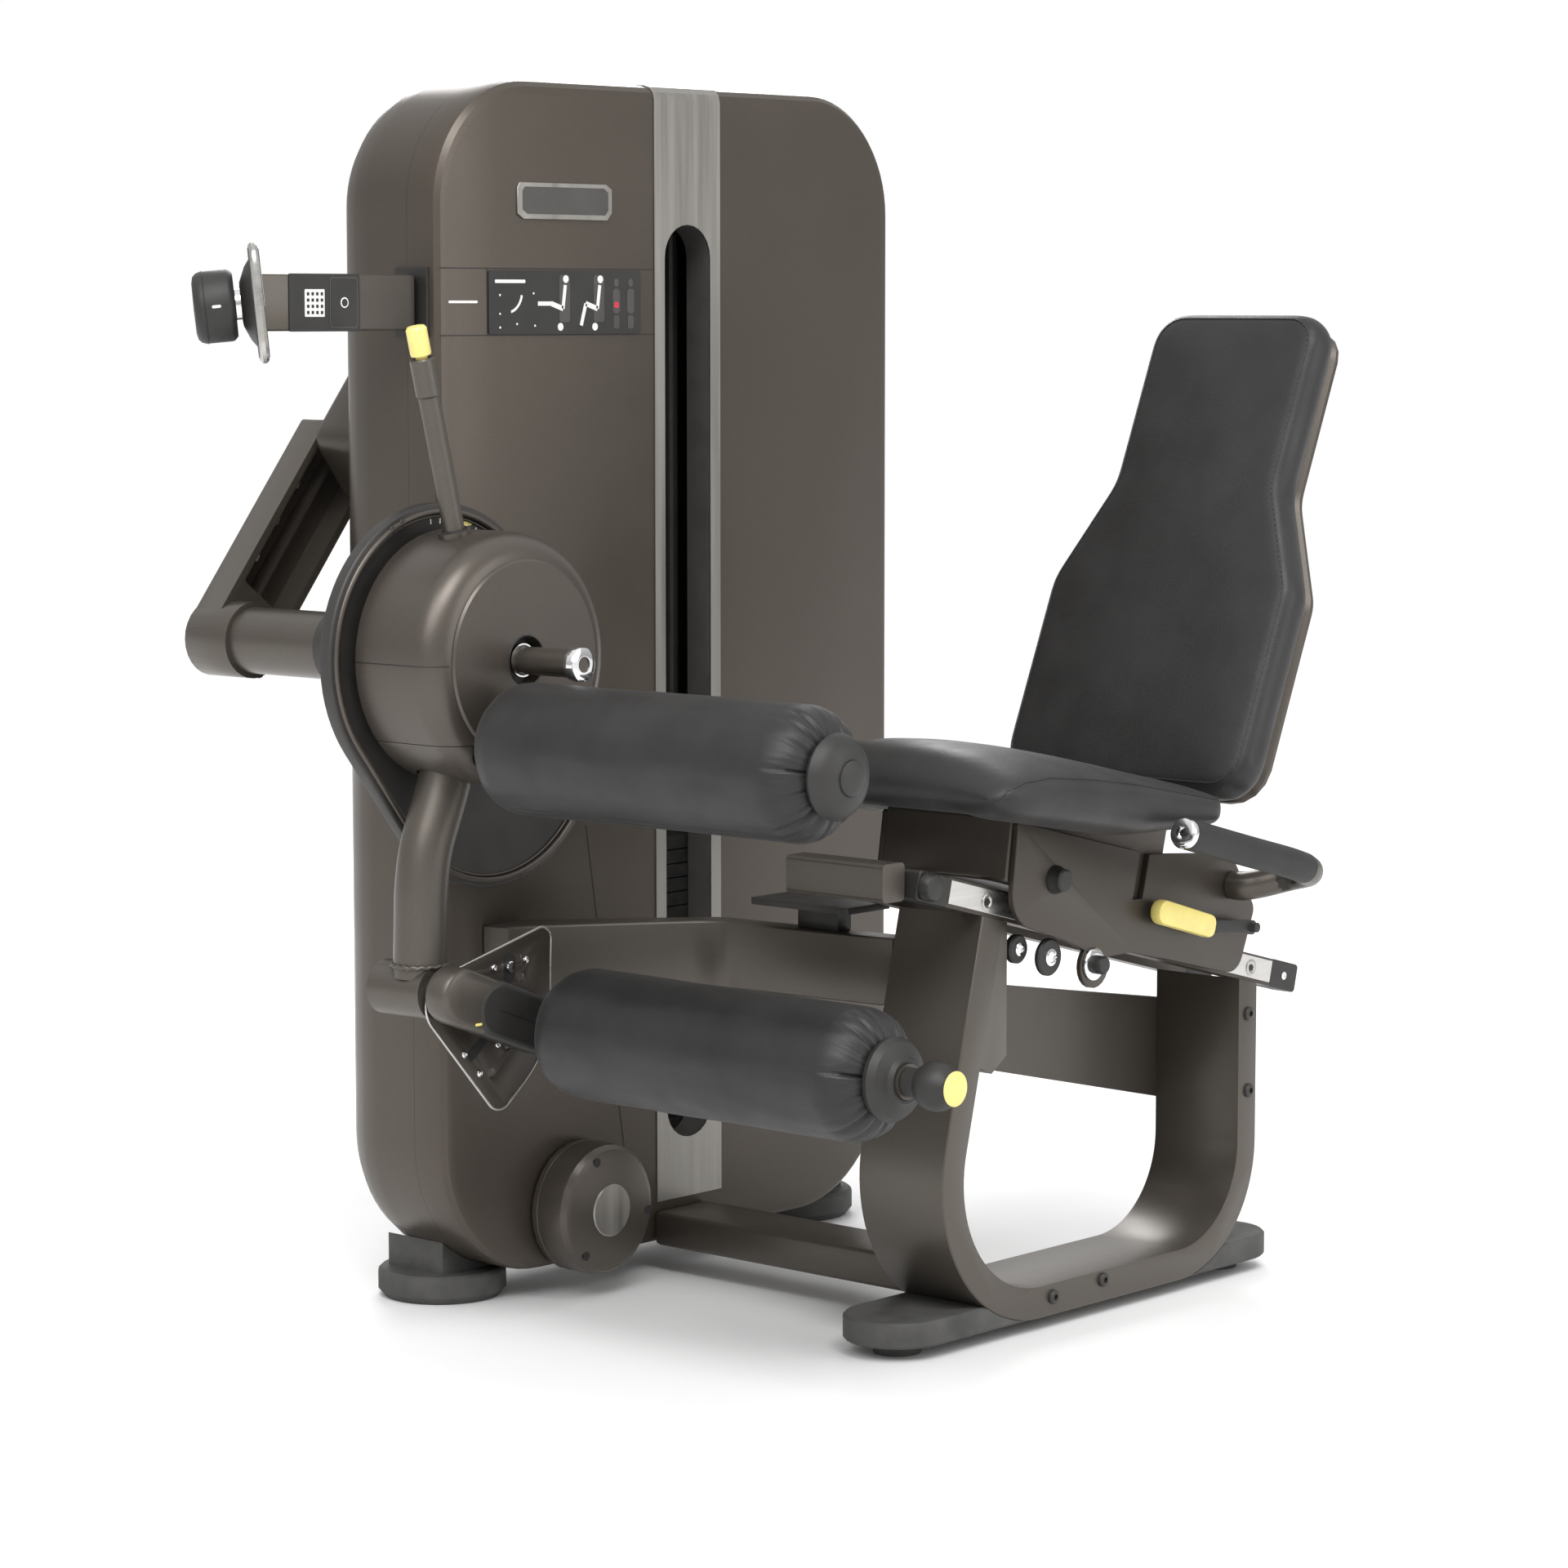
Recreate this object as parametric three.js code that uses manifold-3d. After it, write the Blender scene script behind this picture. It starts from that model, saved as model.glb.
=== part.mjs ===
// A seated leg curl with a weight-stack tower, in millimetres, +Z up.
// While it is built, X = 0 is the tower's left side, Y = 0 its front face and Z = 0 the floor.
// The user sits facing -X. The last lines move the middle of the footprint to the origin.
import * as THREE from "three";
import { mergeVertices } from "three/addons/utils/BufferGeometryUtils.js";
import Module from "manifold-3d";

const wasm = await Module();
wasm.setup();

// Driving dimensions
const GAP = 0.3; // between touching pieces
const TOWER_WIDTH = 811;
const TOWER_DEPTH = 208;
const TOWER_TOP = 1460;
const TOWER_BOTTOM = 34;
const TOWER_TOP_RADIUS = 150;
const TOWER_BOTTOM_RADIUS = 170;
const TOWER_REAR_ROUND = 92;
const SHELL_SEAM_Y = 50;
const SHELL_WALL = 5;
const STRIP_X = 424;
const STRIP_WIDTH = 118;
const STRIP_BOTTOM = 87;
const SLOT_WIDTH = 82;
const SLOT_BOTTOM = 162;
const SLOT_TOP = 1294;
const HUB_X = -46;
const HUB_Z = 797;
const SHAFT_RADIUS = 40;
const CAM_RADIUS = 174;
const DRUM_RADIUS = 145;
const DRUM_FRONT_Y = -185;
const DRUM_REAR_Y = -61;
const ROLLER_RADIUS = 75;
const ROLLER_BACK_Y = -205;
const ROLLER_FRONT_Y = -690;
const TIBIA_X = -95;
const TIBIA_Z = 704;
const ANKLE_X = -4;
const ANKLE_Z = 371;
const PIVOT_X = -133;
const PIVOT_Z = 421;
const LEVER_Y = -100;
const LEVER_RADIUS = 30.5;
const BAND_NEAR_Y = -563;
const BAND_FAR_Y = -437;
const RAIL_ANGLE = THREE.MathUtils.degToRad(14.5);
const RAIL_X = 322;
const RAIL_Z = 518;
const SEAT_Y = -481;
const SEAT_WIDTH = 380;
const BACK_ANGLE = THREE.MathUtils.degToRad(23.5);
const STACK_Y = 85;
const PLATE_PITCH = 17.8;

// Finishes
const finish = (color, roughness, metalness) =>
  new THREE.MeshStandardMaterial({ color, roughness, metalness });
const BRONZE = finish(0x5f574e, 0.45, 0.6);
const STRIP_SILVER = finish(0xa09d96, 0.35, 0.8);
const DARK_METAL = finish(0x3c3833, 0.5, 0.5);
const BLACK_PLASTIC = finish(0x1e1d1c, 0.55, 0.0);
const RUBBER = finish(0x3f3f3f, 0.8, 0.0);
const LEATHER = finish(0x2f2e2e, 0.5, 0.0);
const YELLOW = finish(0xeedc6e, 0.45, 0.0);
const CHROME = finish(0xd8d8d8, 0.1, 1.0);
const STEEL = finish(0xbdb9b2, 0.3, 0.9);
const CAST_IRON = finish(0x262422, 0.7, 0.4);
const BELT = finish(0x151515, 0.7, 0.0);

const machine = new THREE.Group();

function addPiece(name, geometry, material) {
  const mesh = new THREE.Mesh(geometry, material);
  mesh.name = name;
  machine.add(mesh);
  return mesh;
}

// Boolean work on closed geometries
function solid(geometry) {
  const bare = geometry.index ? geometry.toNonIndexed() : geometry.clone();
  bare.deleteAttribute("normal");
  bare.deleteAttribute("uv");
  const merged = mergeVertices(bare, 1e-3);
  return new wasm.Manifold(
    new wasm.Mesh({
      numProp: 3,
      vertProperties: new Float32Array(merged.attributes.position.array),
      triVerts: new Uint32Array(merged.index.array),
    }),
  );
}

function geometryOf(body) {
  const mesh = body.getMesh();
  const geometry = new THREE.BufferGeometry();
  geometry.setAttribute("position", new THREE.BufferAttribute(mesh.vertProperties, 3));
  geometry.setIndex(new THREE.BufferAttribute(mesh.triVerts, 1));
  geometry.computeVertexNormals();
  return geometry;
}

const cut = (base, ...tools) =>
  geometryOf(tools.reduce((left, tool) => left.subtract(solid(tool)), solid(base)));
const join = (...parts) =>
  geometryOf(parts.map(solid).reduce((sum, next) => sum.add(next)));
const common = (base, tool) => geometryOf(solid(base).intersect(solid(tool)));

// Boxes, cylinders and turned shapes, each placed where it stands
function box(lowX, highX, lowY, highY, lowZ, highZ) {
  const geometry = new THREE.BoxGeometry(highX - lowX, highY - lowY, highZ - lowZ);
  geometry.translate((lowX + highX) / 2, (lowY + highY) / 2, (lowZ + highZ) / 2);
  return geometry;
}

function cylinderY(radius, lowY, highY, x, z, sides = 24) {
  const geometry = new THREE.CylinderGeometry(radius, radius, highY - lowY, sides);
  geometry.translate(x, (lowY + highY) / 2, z);
  return geometry;
}

function cylinderZ(radius, lowZ, highZ, x, y, sides = 20) {
  const geometry = new THREE.CylinderGeometry(radius, radius, highZ - lowZ, sides);
  geometry.rotateX(Math.PI / 2);
  geometry.translate(x, y, (lowZ + highZ) / 2);
  return geometry;
}

// A profile of [radius, y] pairs, lowest y first, turned about an axis along Y
function turnedY(profile, x, z, sides = 28) {
  const points = profile.map(([radius, y]) => new THREE.Vector2(radius, y));
  const geometry = new THREE.LatheGeometry(points, sides);
  geometry.translate(x, 0, z);
  return geometry;
}

// An outline in X and Z, made solid from farY towards nearY, where nearY is the smaller
function slabXZ(shape, nearY, farY, bevel = 0, curveSegments = 3, bevelSegments = 1) {
  const geometry = new THREE.ExtrudeGeometry(shape, {
    depth: farY - nearY - 2 * bevel,
    bevelEnabled: bevel > 0,
    bevelThickness: bevel,
    bevelSize: bevel,
    bevelOffset: -bevel,
    bevelSegments,
    curveSegments,
  });
  geometry.rotateX(Math.PI / 2);
  geometry.translate(0, farY - bevel, 0);
  return geometry;
}

// An outline in X and Y, made solid from lowZ to highZ
function slabXY(shape, lowZ, highZ, bevel = 0, curveSegments = 3) {
  const geometry = new THREE.ExtrudeGeometry(shape, {
    depth: highZ - lowZ - 2 * bevel,
    bevelEnabled: bevel > 0,
    bevelThickness: bevel,
    bevelSize: bevel,
    bevelOffset: -bevel,
    bevelSegments: 1,
    curveSegments,
  });
  geometry.translate(0, 0, lowZ + bevel);
  return geometry;
}

// A closed outline whose corners are rounded: each corner is [x, y, radius]
function roundedOutline(corners) {
  const shape = new THREE.Shape();
  const count = corners.length;
  corners.forEach(([x, y, radius = 0], index) => {
    const here = new THREE.Vector2(x, y);
    const before = new THREE.Vector2(...corners[(index + count - 1) % count].slice(0, 2));
    const after = new THREE.Vector2(...corners[(index + 1) % count].slice(0, 2));
    const back = before.sub(here).normalize();
    const ahead = after.sub(here).normalize();
    const halfAngle = Math.acos(THREE.MathUtils.clamp(back.dot(ahead), -1, 1)) / 2;
    const reach = radius / Math.tan(halfAngle);
    const start = here.clone().addScaledVector(back, reach);
    const end = here.clone().addScaledVector(ahead, reach);
    if (index === 0) shape.moveTo(start.x, start.y);
    else shape.lineTo(start.x, start.y);
    if (radius > 0) {
      const toCentre = back.add(ahead).normalize();
      const centre = here.clone().addScaledVector(toCentre, radius / Math.sin(halfAngle));
      const from = Math.atan2(start.y - centre.y, start.x - centre.x);
      const to = Math.atan2(end.y - centre.y, end.x - centre.x);
      const turn = Math.atan2(Math.sin(to - from), Math.cos(to - from));
      shape.absarc(centre.x, centre.y, radius, from, from + turn, turn < 0);
    }
  });
  shape.closePath();
  return shape;
}

function roundedBoxXZ(lowX, highX, lowZ, highZ, radius) {
  return roundedOutline([
    [lowX, lowZ, radius],
    [highX, lowZ, radius],
    [highX, highZ, radius],
    [lowX, highZ, radius],
  ]);
}

// The outline round two circles, each given as [x, y, radius]
function hullOfTwo([x1, y1, r1], [x2, y2, r2]) {
  const along = Math.atan2(y2 - y1, x2 - x1);
  const spread = Math.acos((r1 - r2) / Math.hypot(x2 - x1, y2 - y1));
  const shape = new THREE.Shape();
  shape.absarc(x1, y1, r1, along + spread, along - spread + 2 * Math.PI, false);
  shape.absarc(x2, y2, r2, along - spread, along + spread, false);
  shape.closePath();
  return shape;
}

// A bar of round section along a smooth route of [x, y, z] points
function tubeAlong(points, radius, steps = 14, sides = 14) {
  const route = new THREE.CatmullRomCurve3(points.map((p) => new THREE.Vector3(...p)));
  const section = new THREE.Shape();
  section.absarc(0, 0, radius, 0, 2 * Math.PI, false);
  return new THREE.ExtrudeGeometry(section, {
    extrudePath: route,
    steps,
    curveSegments: sides / 2,
  });
}

// A point given along the rail and square to it, upwards
function onRail(along, up) {
  return [
    RAIL_X + along * Math.cos(RAIL_ANGLE) + up * Math.sin(RAIL_ANGLE),
    RAIL_Z - along * Math.sin(RAIL_ANGLE) + up * Math.cos(RAIL_ANGLE),
  ];
}

function onRailPoint(along, up, y) {
  const [x, z] = onRail(along, up);
  return [x, y, z];
}

const railOutline = (corners) =>
  roundedOutline(corners.map(([along, up, radius = 0]) => [...onRail(along, up), radius]));

// Tower
function towerOutline(inset) {
  const low = TOWER_BOTTOM + inset;
  const high = TOWER_TOP - inset;
  return roundedOutline([
    [inset, low, TOWER_BOTTOM_RADIUS - inset],
    [TOWER_WIDTH - inset, low, TOWER_BOTTOM_RADIUS - inset],
    [TOWER_WIDTH - inset, high, TOWER_TOP_RADIUS - inset],
    [inset, high, TOWER_TOP_RADIUS - inset],
  ]);
}

const slotOutline = (grow) =>
  roundedBoxXZ(
    STRIP_X - SLOT_WIDTH / 2 - grow,
    STRIP_X + SLOT_WIDTH / 2 + grow,
    SLOT_BOTTOM - grow,
    SLOT_TOP + grow,
    SLOT_WIDTH / 2 + grow - 0.5,
  );

const FRONT_EDGE_ROUND = 16;
const CORNER_STEPS = 8;

// The front skin grown outwards by a little, used for the strip that lies on it
function frontBody(grow) {
  return slabXZ(
    towerOutline(-grow),
    -grow,
    SHELL_SEAM_Y * 2,
    FRONT_EDGE_ROUND + grow,
    CORNER_STEPS,
    3,
  );
}

function towerFrontShell() {
  const block = common(
    frontBody(0),
    box(-1, TOWER_WIDTH + 1, -1, SHELL_SEAM_Y, 0, TOWER_TOP + 1),
  );
  return cut(
    block,
    slabXZ(towerOutline(SHELL_WALL + 4), SHELL_WALL, SHELL_SEAM_Y + 5, 0, CORNER_STEPS),
    slabXZ(slotOutline(2), -10, 40),
  );
}

function towerRearShell() {
  const rearBlock = (inset) =>
    slabXZ(
      towerOutline(inset),
      -150,
      TOWER_DEPTH - inset,
      TOWER_REAR_ROUND - inset,
      CORNER_STEPS,
      6,
    );
  const front = SHELL_SEAM_Y + GAP;
  const outer = common(
    rearBlock(0),
    box(-1, TOWER_WIDTH + 1, front, TOWER_DEPTH + 1, 0, TOWER_TOP + 1),
  );
  const inner = common(
    rearBlock(SHELL_WALL),
    box(0, TOWER_WIDTH, front - 1, TOWER_DEPTH, 0, TOWER_TOP),
  );
  return cut(outer, inner);
}

function trimStrip() {
  const band = cut(frontBody(1.6), frontBody(GAP));
  const reach = box(
    STRIP_X - STRIP_WIDTH / 2,
    STRIP_X + STRIP_WIDTH / 2,
    -10,
    28,
    STRIP_BOTTOM,
    TOWER_TOP + 10,
  );
  return cut(common(band, reach), slabXZ(slotOutline(0), -10, 20));
}

function stackFrame() {
  const halfRods = 62;
  const base = box(STRIP_X - 95, STRIP_X + 95, STACK_Y - 30, STACK_Y + 30, 62, 108);
  const beam = box(STRIP_X - 95, STRIP_X + 95, STACK_Y - 20, STACK_Y + 20, 1400, 1430);
  const rods = [-halfRods, halfRods].map((side) =>
    cylinderZ(9, 100, 1405, STRIP_X + side, STACK_Y, 12),
  );
  return join(base, beam, ...rods);
}

// A pile of plates with a groove round the front and back between each two
function platePile(lowZ, count) {
  const halfDepth = 45;
  const points = [];
  for (let plate = 0; plate < count; plate += 1) {
    const bottom = lowZ + plate * PLATE_PITCH;
    points.push([halfDepth, bottom + 0.9], [halfDepth, bottom + PLATE_PITCH - 0.9]);
    if (plate < count - 1) {
      points.push([halfDepth - 4, bottom + PLATE_PITCH - 0.9]);
      points.push([halfDepth - 4, bottom + PLATE_PITCH + 0.9]);
    }
  }
  const outline = new THREE.Shape();
  points.forEach(([y, z], index) => (index ? outline.lineTo(y, z) : outline.moveTo(y, z)));
  points.reverse().forEach(([y, z]) => outline.lineTo(-y, z));
  outline.closePath();
  const geometry = new THREE.ExtrudeGeometry(outline, { depth: 180, bevelEnabled: false });
  const basis = new THREE.Matrix4().makeBasis(
    new THREE.Vector3(0, 1, 0),
    new THREE.Vector3(0, 0, 1),
    new THREE.Vector3(1, 0, 0),
  );
  geometry.applyMatrix4(basis);
  geometry.translate(STRIP_X - 90, STACK_Y, 0);
  const holes = [-62, 62].map((side) =>
    cylinderZ(10.5, lowZ - 5, lowZ + count * PLATE_PITCH + 5, STRIP_X + side, STACK_Y, 12),
  );
  return cut(geometry, ...holes);
}

// The stack: plates left resting, and plates above the pin that are lifted
const PILE_BOTTOM = 109;
const RESTING_PLATES = 10;
const LIFTED_PLATES = 14;
const LIFTED_BOTTOM = PILE_BOTTOM + RESTING_PLATES * PLATE_PITCH;
const PILE_TOP = LIFTED_BOTTOM + LIFTED_PLATES * PLATE_PITCH;
const PIN_Z = LIFTED_BOTTOM + PLATE_PITCH / 2;

function restingPlates() {
  const bore = cylinderZ(13, PILE_BOTTOM - 5, LIFTED_BOTTOM + 5, STRIP_X, STACK_Y, 16);
  return cut(platePile(PILE_BOTTOM, RESTING_PLATES), bore);
}

function liftedPlates() {
  const pile = platePile(LIFTED_BOTTOM, LIFTED_PLATES);
  const stem = cylinderZ(11, PILE_BOTTOM + 12, LIFTED_BOTTOM + 8, STRIP_X, STACK_Y, 16);
  const head = box(STRIP_X - 26, STRIP_X + 26, STACK_Y - 18, STACK_Y + 18, PILE_TOP - 2, PILE_TOP + 22);
  const pinHole = cylinderY(6, STACK_Y - 60, STACK_Y + 10, STRIP_X, PIN_Z, 16);
  return cut(join(pile, stem, head), pinHole);
}

function selectorPin() {
  const shank = cylinderY(5, STACK_Y - 50, STACK_Y + 8, STRIP_X, PIN_Z, 16);
  const head = cylinderY(12, STACK_Y - 72, STACK_Y - 49, STRIP_X, PIN_Z, 20);
  return join(shank, head);
}

const PULLEY_RADIUS = 45;
const PULLEY_Z = 1335;
const BELT_HALF_THICKNESS = 1.5;

// The pulley turns about an axis along X, just behind the belt
function topPulley() {
  const rim = PULLEY_RADIUS;
  const geometry = turnedY(
    [
      [0, -18],
      [rim + 6, -18],
      [rim + 6, -15],
      [rim, -15],
      [rim, 15],
      [rim + 6, 15],
      [rim + 6, 18],
      [0, 18],
    ],
    0,
    0,
    24,
  );
  geometry.rotateZ(Math.PI / 2);
  geometry.translate(STRIP_X, STACK_Y + rim + BELT_HALF_THICKNESS + GAP, PULLEY_Z);
  return geometry;
}

const stackBelt = () =>
  box(
    STRIP_X - 12,
    STRIP_X + 12,
    STACK_Y - BELT_HALF_THICKNESS,
    STACK_Y + BELT_HALF_THICKNESS,
    PILE_TOP + 22 + GAP,
    PULLEY_Z,
  );

function towerFoot(centreX) {
  const centreY = 112;
  const pad = new THREE.LatheGeometry(
    [
      [0, 0],
      [70, 0],
      [73, 4],
      [78, 9],
      [78, 31],
      [74, 35],
      [0, 35],
    ].map(([radius, z]) => new THREE.Vector2(radius, z)),
    28,
  );
  pad.rotateX(Math.PI / 2);
  pad.translate(centreX, centreY, 0);
  const side = Math.sign(centreX - TOWER_WIDTH / 2);
  const outer = centreX + side * 44;
  const inner = centreX - side * 40;
  const block = box(Math.min(outer, inner), Math.max(outer, inner), 66, 160, 30, 130);
  const clearance = slabXZ(towerOutline(-GAP), -50, 300, 0, CORNER_STEPS);
  return cut(join(pad, block), clearance);
}

function pulleyCover() {
  const front = -60;
  const rear = -2;
  return turnedY(
    [
      [0, front],
      [66, front],
      [74, front + 3],
      [79, front + 9],
      [80, front + 16],
      [80, rear - 13],
      [78.5, rear - 12],
      [78.5, rear - 11],
      [80, rear - 10],
      [80, rear - 3],
      [77, rear],
      [0, rear],
    ],
    221,
    107,
  );
}

const instructionPlacard = () => slabXZ(roundedBoxXZ(82, 340, 1162, 1237, 3), -1.9, -GAP);

function buildTower() {
  addPiece("tower_front_shell", towerFrontShell(), BRONZE);
  addPiece("tower_rear_shell", towerRearShell(), BRONZE);
  addPiece("trim_strip", trimStrip(), STRIP_SILVER);
  addPiece("instruction_placard", instructionPlacard(), BLACK_PLASTIC);
  addPiece("stack_frame", stackFrame(), STEEL);
  addPiece("resting_plates", restingPlates(), CAST_IRON);
  addPiece("lifted_plates", liftedPlates(), CAST_IRON);
  addPiece("selector_pin", selectorPin(), YELLOW);
  addPiece("stack_belt", stackBelt(), BELT);
  addPiece("top_pulley", topPulley(), BLACK_PLASTIC);
  addPiece("tower_foot_left", towerFoot(103), RUBBER);
  addPiece("tower_foot_right", towerFoot(TOWER_WIDTH - 63), RUBBER);
  addPiece("pulley_cover", pulleyCover(), BRONZE);
}

// Display arm on the tower's left side
const DISPLAY_Y = 40;
const DISPLAY_Z = 1199;

function displaySocket() {
  return slabXZ(roundedBoxXZ(-4, -GAP, 1158, 1240, 1), DISPLAY_Y - 26, DISPLAY_Y + 26);
}

// The head is turned towards the user's place and leans a little
const HEAD_X = -239;
const HEAD_TURN = THREE.MathUtils.degToRad(-41);
const HEAD_TILT = THREE.MathUtils.degToRad(-5.5);
const HEAD_HALF_THICKNESS = 5;
const DIAL_BACK = 26;

// Places something built round the Y axis so that +Y points out of the head towards the dial
function onDisplayHead(geometry) {
  geometry.rotateZ(Math.PI / 2);
  geometry.rotateY(HEAD_TILT);
  geometry.rotateZ(HEAD_TURN);
  geometry.translate(HEAD_X, DISPLAY_Y, DISPLAY_Z);
  return geometry;
}

function displayArm() {
  const pivotX = -25;
  const endX = HEAD_X - 30;
  const outline = new THREE.Shape();
  outline.moveTo(endX, DISPLAY_Y - 20);
  outline.lineTo(pivotX, DISPLAY_Y - 20);
  outline.absarc(pivotX, DISPLAY_Y, 20, -Math.PI / 2, Math.PI / 2, false);
  outline.lineTo(endX, DISPLAY_Y + 20);
  outline.closePath();
  const bar = slabXY(outline, DISPLAY_Z - 32, DISPLAY_Z + 32, 1.5);
  const beyond = onDisplayHead(box(-150, 150, -HEAD_HALF_THICKNESS - GAP, 200, -150, 150));
  return cut(bar, beyond);
}

function displayBezel() {
  const half = HEAD_HALF_THICKNESS;
  const plate = slabXZ(roundedBoxXZ(-55, 55, -68, 68, 26), -half, half, 3);
  const dome = turnedY(
    [
      [0, half - 1],
      [48, half - 1],
      [40, 11],
      [24, 18],
      [17, 19],
      [17, DIAL_BACK - GAP],
      [0, DIAL_BACK - GAP],
    ],
    0,
    0,
    20,
  );
  return onDisplayHead(join(plate, dome));
}

function displayKnob() {
  return onDisplayHead(
    turnedY(
      [
        [0, DIAL_BACK],
        [36, DIAL_BACK],
        [40, DIAL_BACK + 4],
        [40, DIAL_BACK + 38],
        [36, DIAL_BACK + 44],
        [0, DIAL_BACK + 46],
      ],
      0,
      0,
      24,
    ),
  );
}

function buildDisplay() {
  addPiece("display_socket", displaySocket(), BLACK_PLASTIC);
  addPiece("display_arm", displayArm(), BRONZE);
  addPiece("display_bezel", displayBezel(), STEEL);
  addPiece("display_knob", displayKnob(), BLACK_PLASTIC);
}

// Hub: cam plate, drum, selector, counterweight
function bearingHousing() {
  const ring = cylinderY(47, -20, 118, HUB_X, HUB_Z, 28);
  const foot = box(HUB_X, 20, 30, 118, HUB_Z - 42, HUB_Z + 42);
  const bore = cylinderY(SHAFT_RADIUS + 1, -40, 140, HUB_X, HUB_Z);
  const tower = box(-GAP, 60, -60, 200, 0, 1400);
  return cut(join(ring, foot), bore, tower);
}

const CAM_LOBE = [38, 696, CAM_RADIUS + 4];
const CAM_ARC_STEPS = 20;

function camPlate() {
  const hub = [HUB_X, HUB_Z, CAM_RADIUS];
  const disc = slabXZ(hullOfTwo(hub, CAM_LOBE), -50, -32, 2, CAM_ARC_STEPS);
  const shrink = ([x, z, radius], by) => [x, z, radius - by];
  const recess = slabXZ(hullOfTwo(shrink(hub, 13), shrink(CAM_LOBE, 13)), -60, -45, 0, CAM_ARC_STEPS);
  const bore = cylinderY(SHAFT_RADIUS + 1, -70, 0, HUB_X, HUB_Z);
  return cut(disc, recess, bore);
}

const LOWER_COVER_Z = 706;

function drumBody() {
  const corner = 34;
  const profile = [[0, DRUM_FRONT_Y]];
  const steps = 6;
  for (let step = 0; step <= steps; step += 1) {
    const angle = (step / steps) * (Math.PI / 2);
    profile.push([
      DRUM_RADIUS - corner + corner * Math.sin(angle),
      DRUM_FRONT_Y + corner - corner * Math.cos(angle),
    ]);
  }
  profile.push([DRUM_RADIUS, DRUM_REAR_Y], [0, DRUM_REAR_Y]);
  const scoop = tubeAlong(
    [
      [TIBIA_X + 25, -100, TIBIA_Z],
      [TIBIA_X + 6, -118, TIBIA_Z],
      [TIBIA_X, -140, TIBIA_Z],
      [TIBIA_X, -215, TIBIA_Z],
    ],
    30,
    8,
    16,
  );
  const handleRecess = cylinderY(28, DRUM_FRONT_Y - 5, -168, HUB_X, HUB_Z);
  const body = cut(turnedY(profile, HUB_X, HUB_Z, 60), scoop, handleRecess);
  const collar = cylinderZ(19, 0, 12, 0, 0, 24);
  collar.applyMatrix4(selectorFrame(DRUM_RADIUS - 7));
  const bore = cylinderZ(13, -60, 30, 0, 0, 24);
  bore.applyMatrix4(selectorFrame(DRUM_RADIUS));
  return cut(join(body, collar), bore);
}

// Places something built along +Z so that it points out of the drum where the selector rod does
const SELECTOR_ANGLE = THREE.MathUtils.degToRad(-14);
const SELECTOR_LENGTH = 205;
const SELECTOR_Y = -110;

function selectorFrame(radius) {
  const turn = new THREE.Matrix4().makeRotationY(SELECTOR_ANGLE);
  const lift = new THREE.Matrix4().makeTranslation(0, 0, radius);
  return new THREE.Matrix4()
    .makeTranslation(HUB_X, SELECTOR_Y, HUB_Z)
    .multiply(turn)
    .multiply(lift);
}

function leverPath() {
  return [
    [-85, LEVER_Y, 681],
    [-92, LEVER_Y, 655],
    [-104, LEVER_Y, 625],
    [-121, LEVER_Y, 583],
    [-129, LEVER_Y, 540],
    [-131, LEVER_Y, 495],
    [-133, LEVER_Y, 436],
  ];
}

const leverPocket = () =>
  tubeAlong([[-78, LEVER_Y, 712], ...leverPath()], LEVER_RADIUS + 3, 10, 14);

const below = (z) => box(-400, 400, -400, 100, 0, z);

function hubDrum() {
  return cut(drumBody(), below(LOWER_COVER_Z), leverPocket());
}

function hubLowerCover() {
  const piece = common(drumBody(), below(LOWER_COVER_Z - 0.8));
  return cut(piece, leverPocket());
}

function hubFrontCover() {
  const disc = turnedY(
    [
      [0, -188],
      [112, -188],
      [114.5, -185 - GAP],
      [0, -185 - GAP],
    ],
    HUB_X,
    HUB_Z,
    60,
  );
  const tibiaClearance = cylinderY(31, -200, -180, TIBIA_X, TIBIA_Z, 16);
  return cut(disc, cylinderY(28, -200, -180, HUB_X, HUB_Z), tibiaClearance);
}

function hubHandle() {
  return turnedY(
    [
      [0, -277],
      [17, -277],
      [19, -274],
      [19, -265],
      [16, -262],
      [16, -184],
      [19, -182],
      [19, -176],
      [16, -174],
      [16, -168 - GAP],
      [0, -168 - GAP],
    ],
    HUB_X,
    HUB_Z,
    20,
  );
}

function selectorRod() {
  const rod = cylinderZ(12.3, -50, SELECTOR_LENGTH, 0, 0, 16);
  const socket = cylinderZ(7.5, SELECTOR_LENGTH - 40, SELECTOR_LENGTH + 20, 0, 0, 12);
  const geometry = cut(rod, socket);
  geometry.applyMatrix4(selectorFrame(DRUM_RADIUS));
  return geometry;
}

function selectorButton() {
  const stem = cylinderZ(7, SELECTOR_LENGTH - 24, SELECTOR_LENGTH + 5, 0, 0, 12);
  const cap = new THREE.LatheGeometry(
    [
      [0, 4],
      [11.5, 4],
      [12, 6],
      [12, 34],
      [10, 37],
      [0, 38],
    ].map(([radius, z]) => new THREE.Vector2(radius, z)),
    16,
  );
  cap.rotateX(Math.PI / 2);
  cap.translate(0, 0, SELECTOR_LENGTH);
  const geometry = join(stem, cap);
  geometry.applyMatrix4(selectorFrame(DRUM_RADIUS));
  return geometry;
}

function leverTube() {
  const tube = tubeAlong(leverPath(), LEVER_RADIUS, 18, 26);
  const sleeve = cylinderY(31.5, -129.5, -45, PIVOT_X, PIVOT_Z, 30);
  const bore = cylinderY(12.8, -140, -40, PIVOT_X, PIVOT_Z, 16);
  return cut(join(tube, sleeve), bore);
}

const INDEX_HOLE_RADIUS = 128;
const INDEX_HOLE_ANGLES = [-52, -34, 2, 12];

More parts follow.
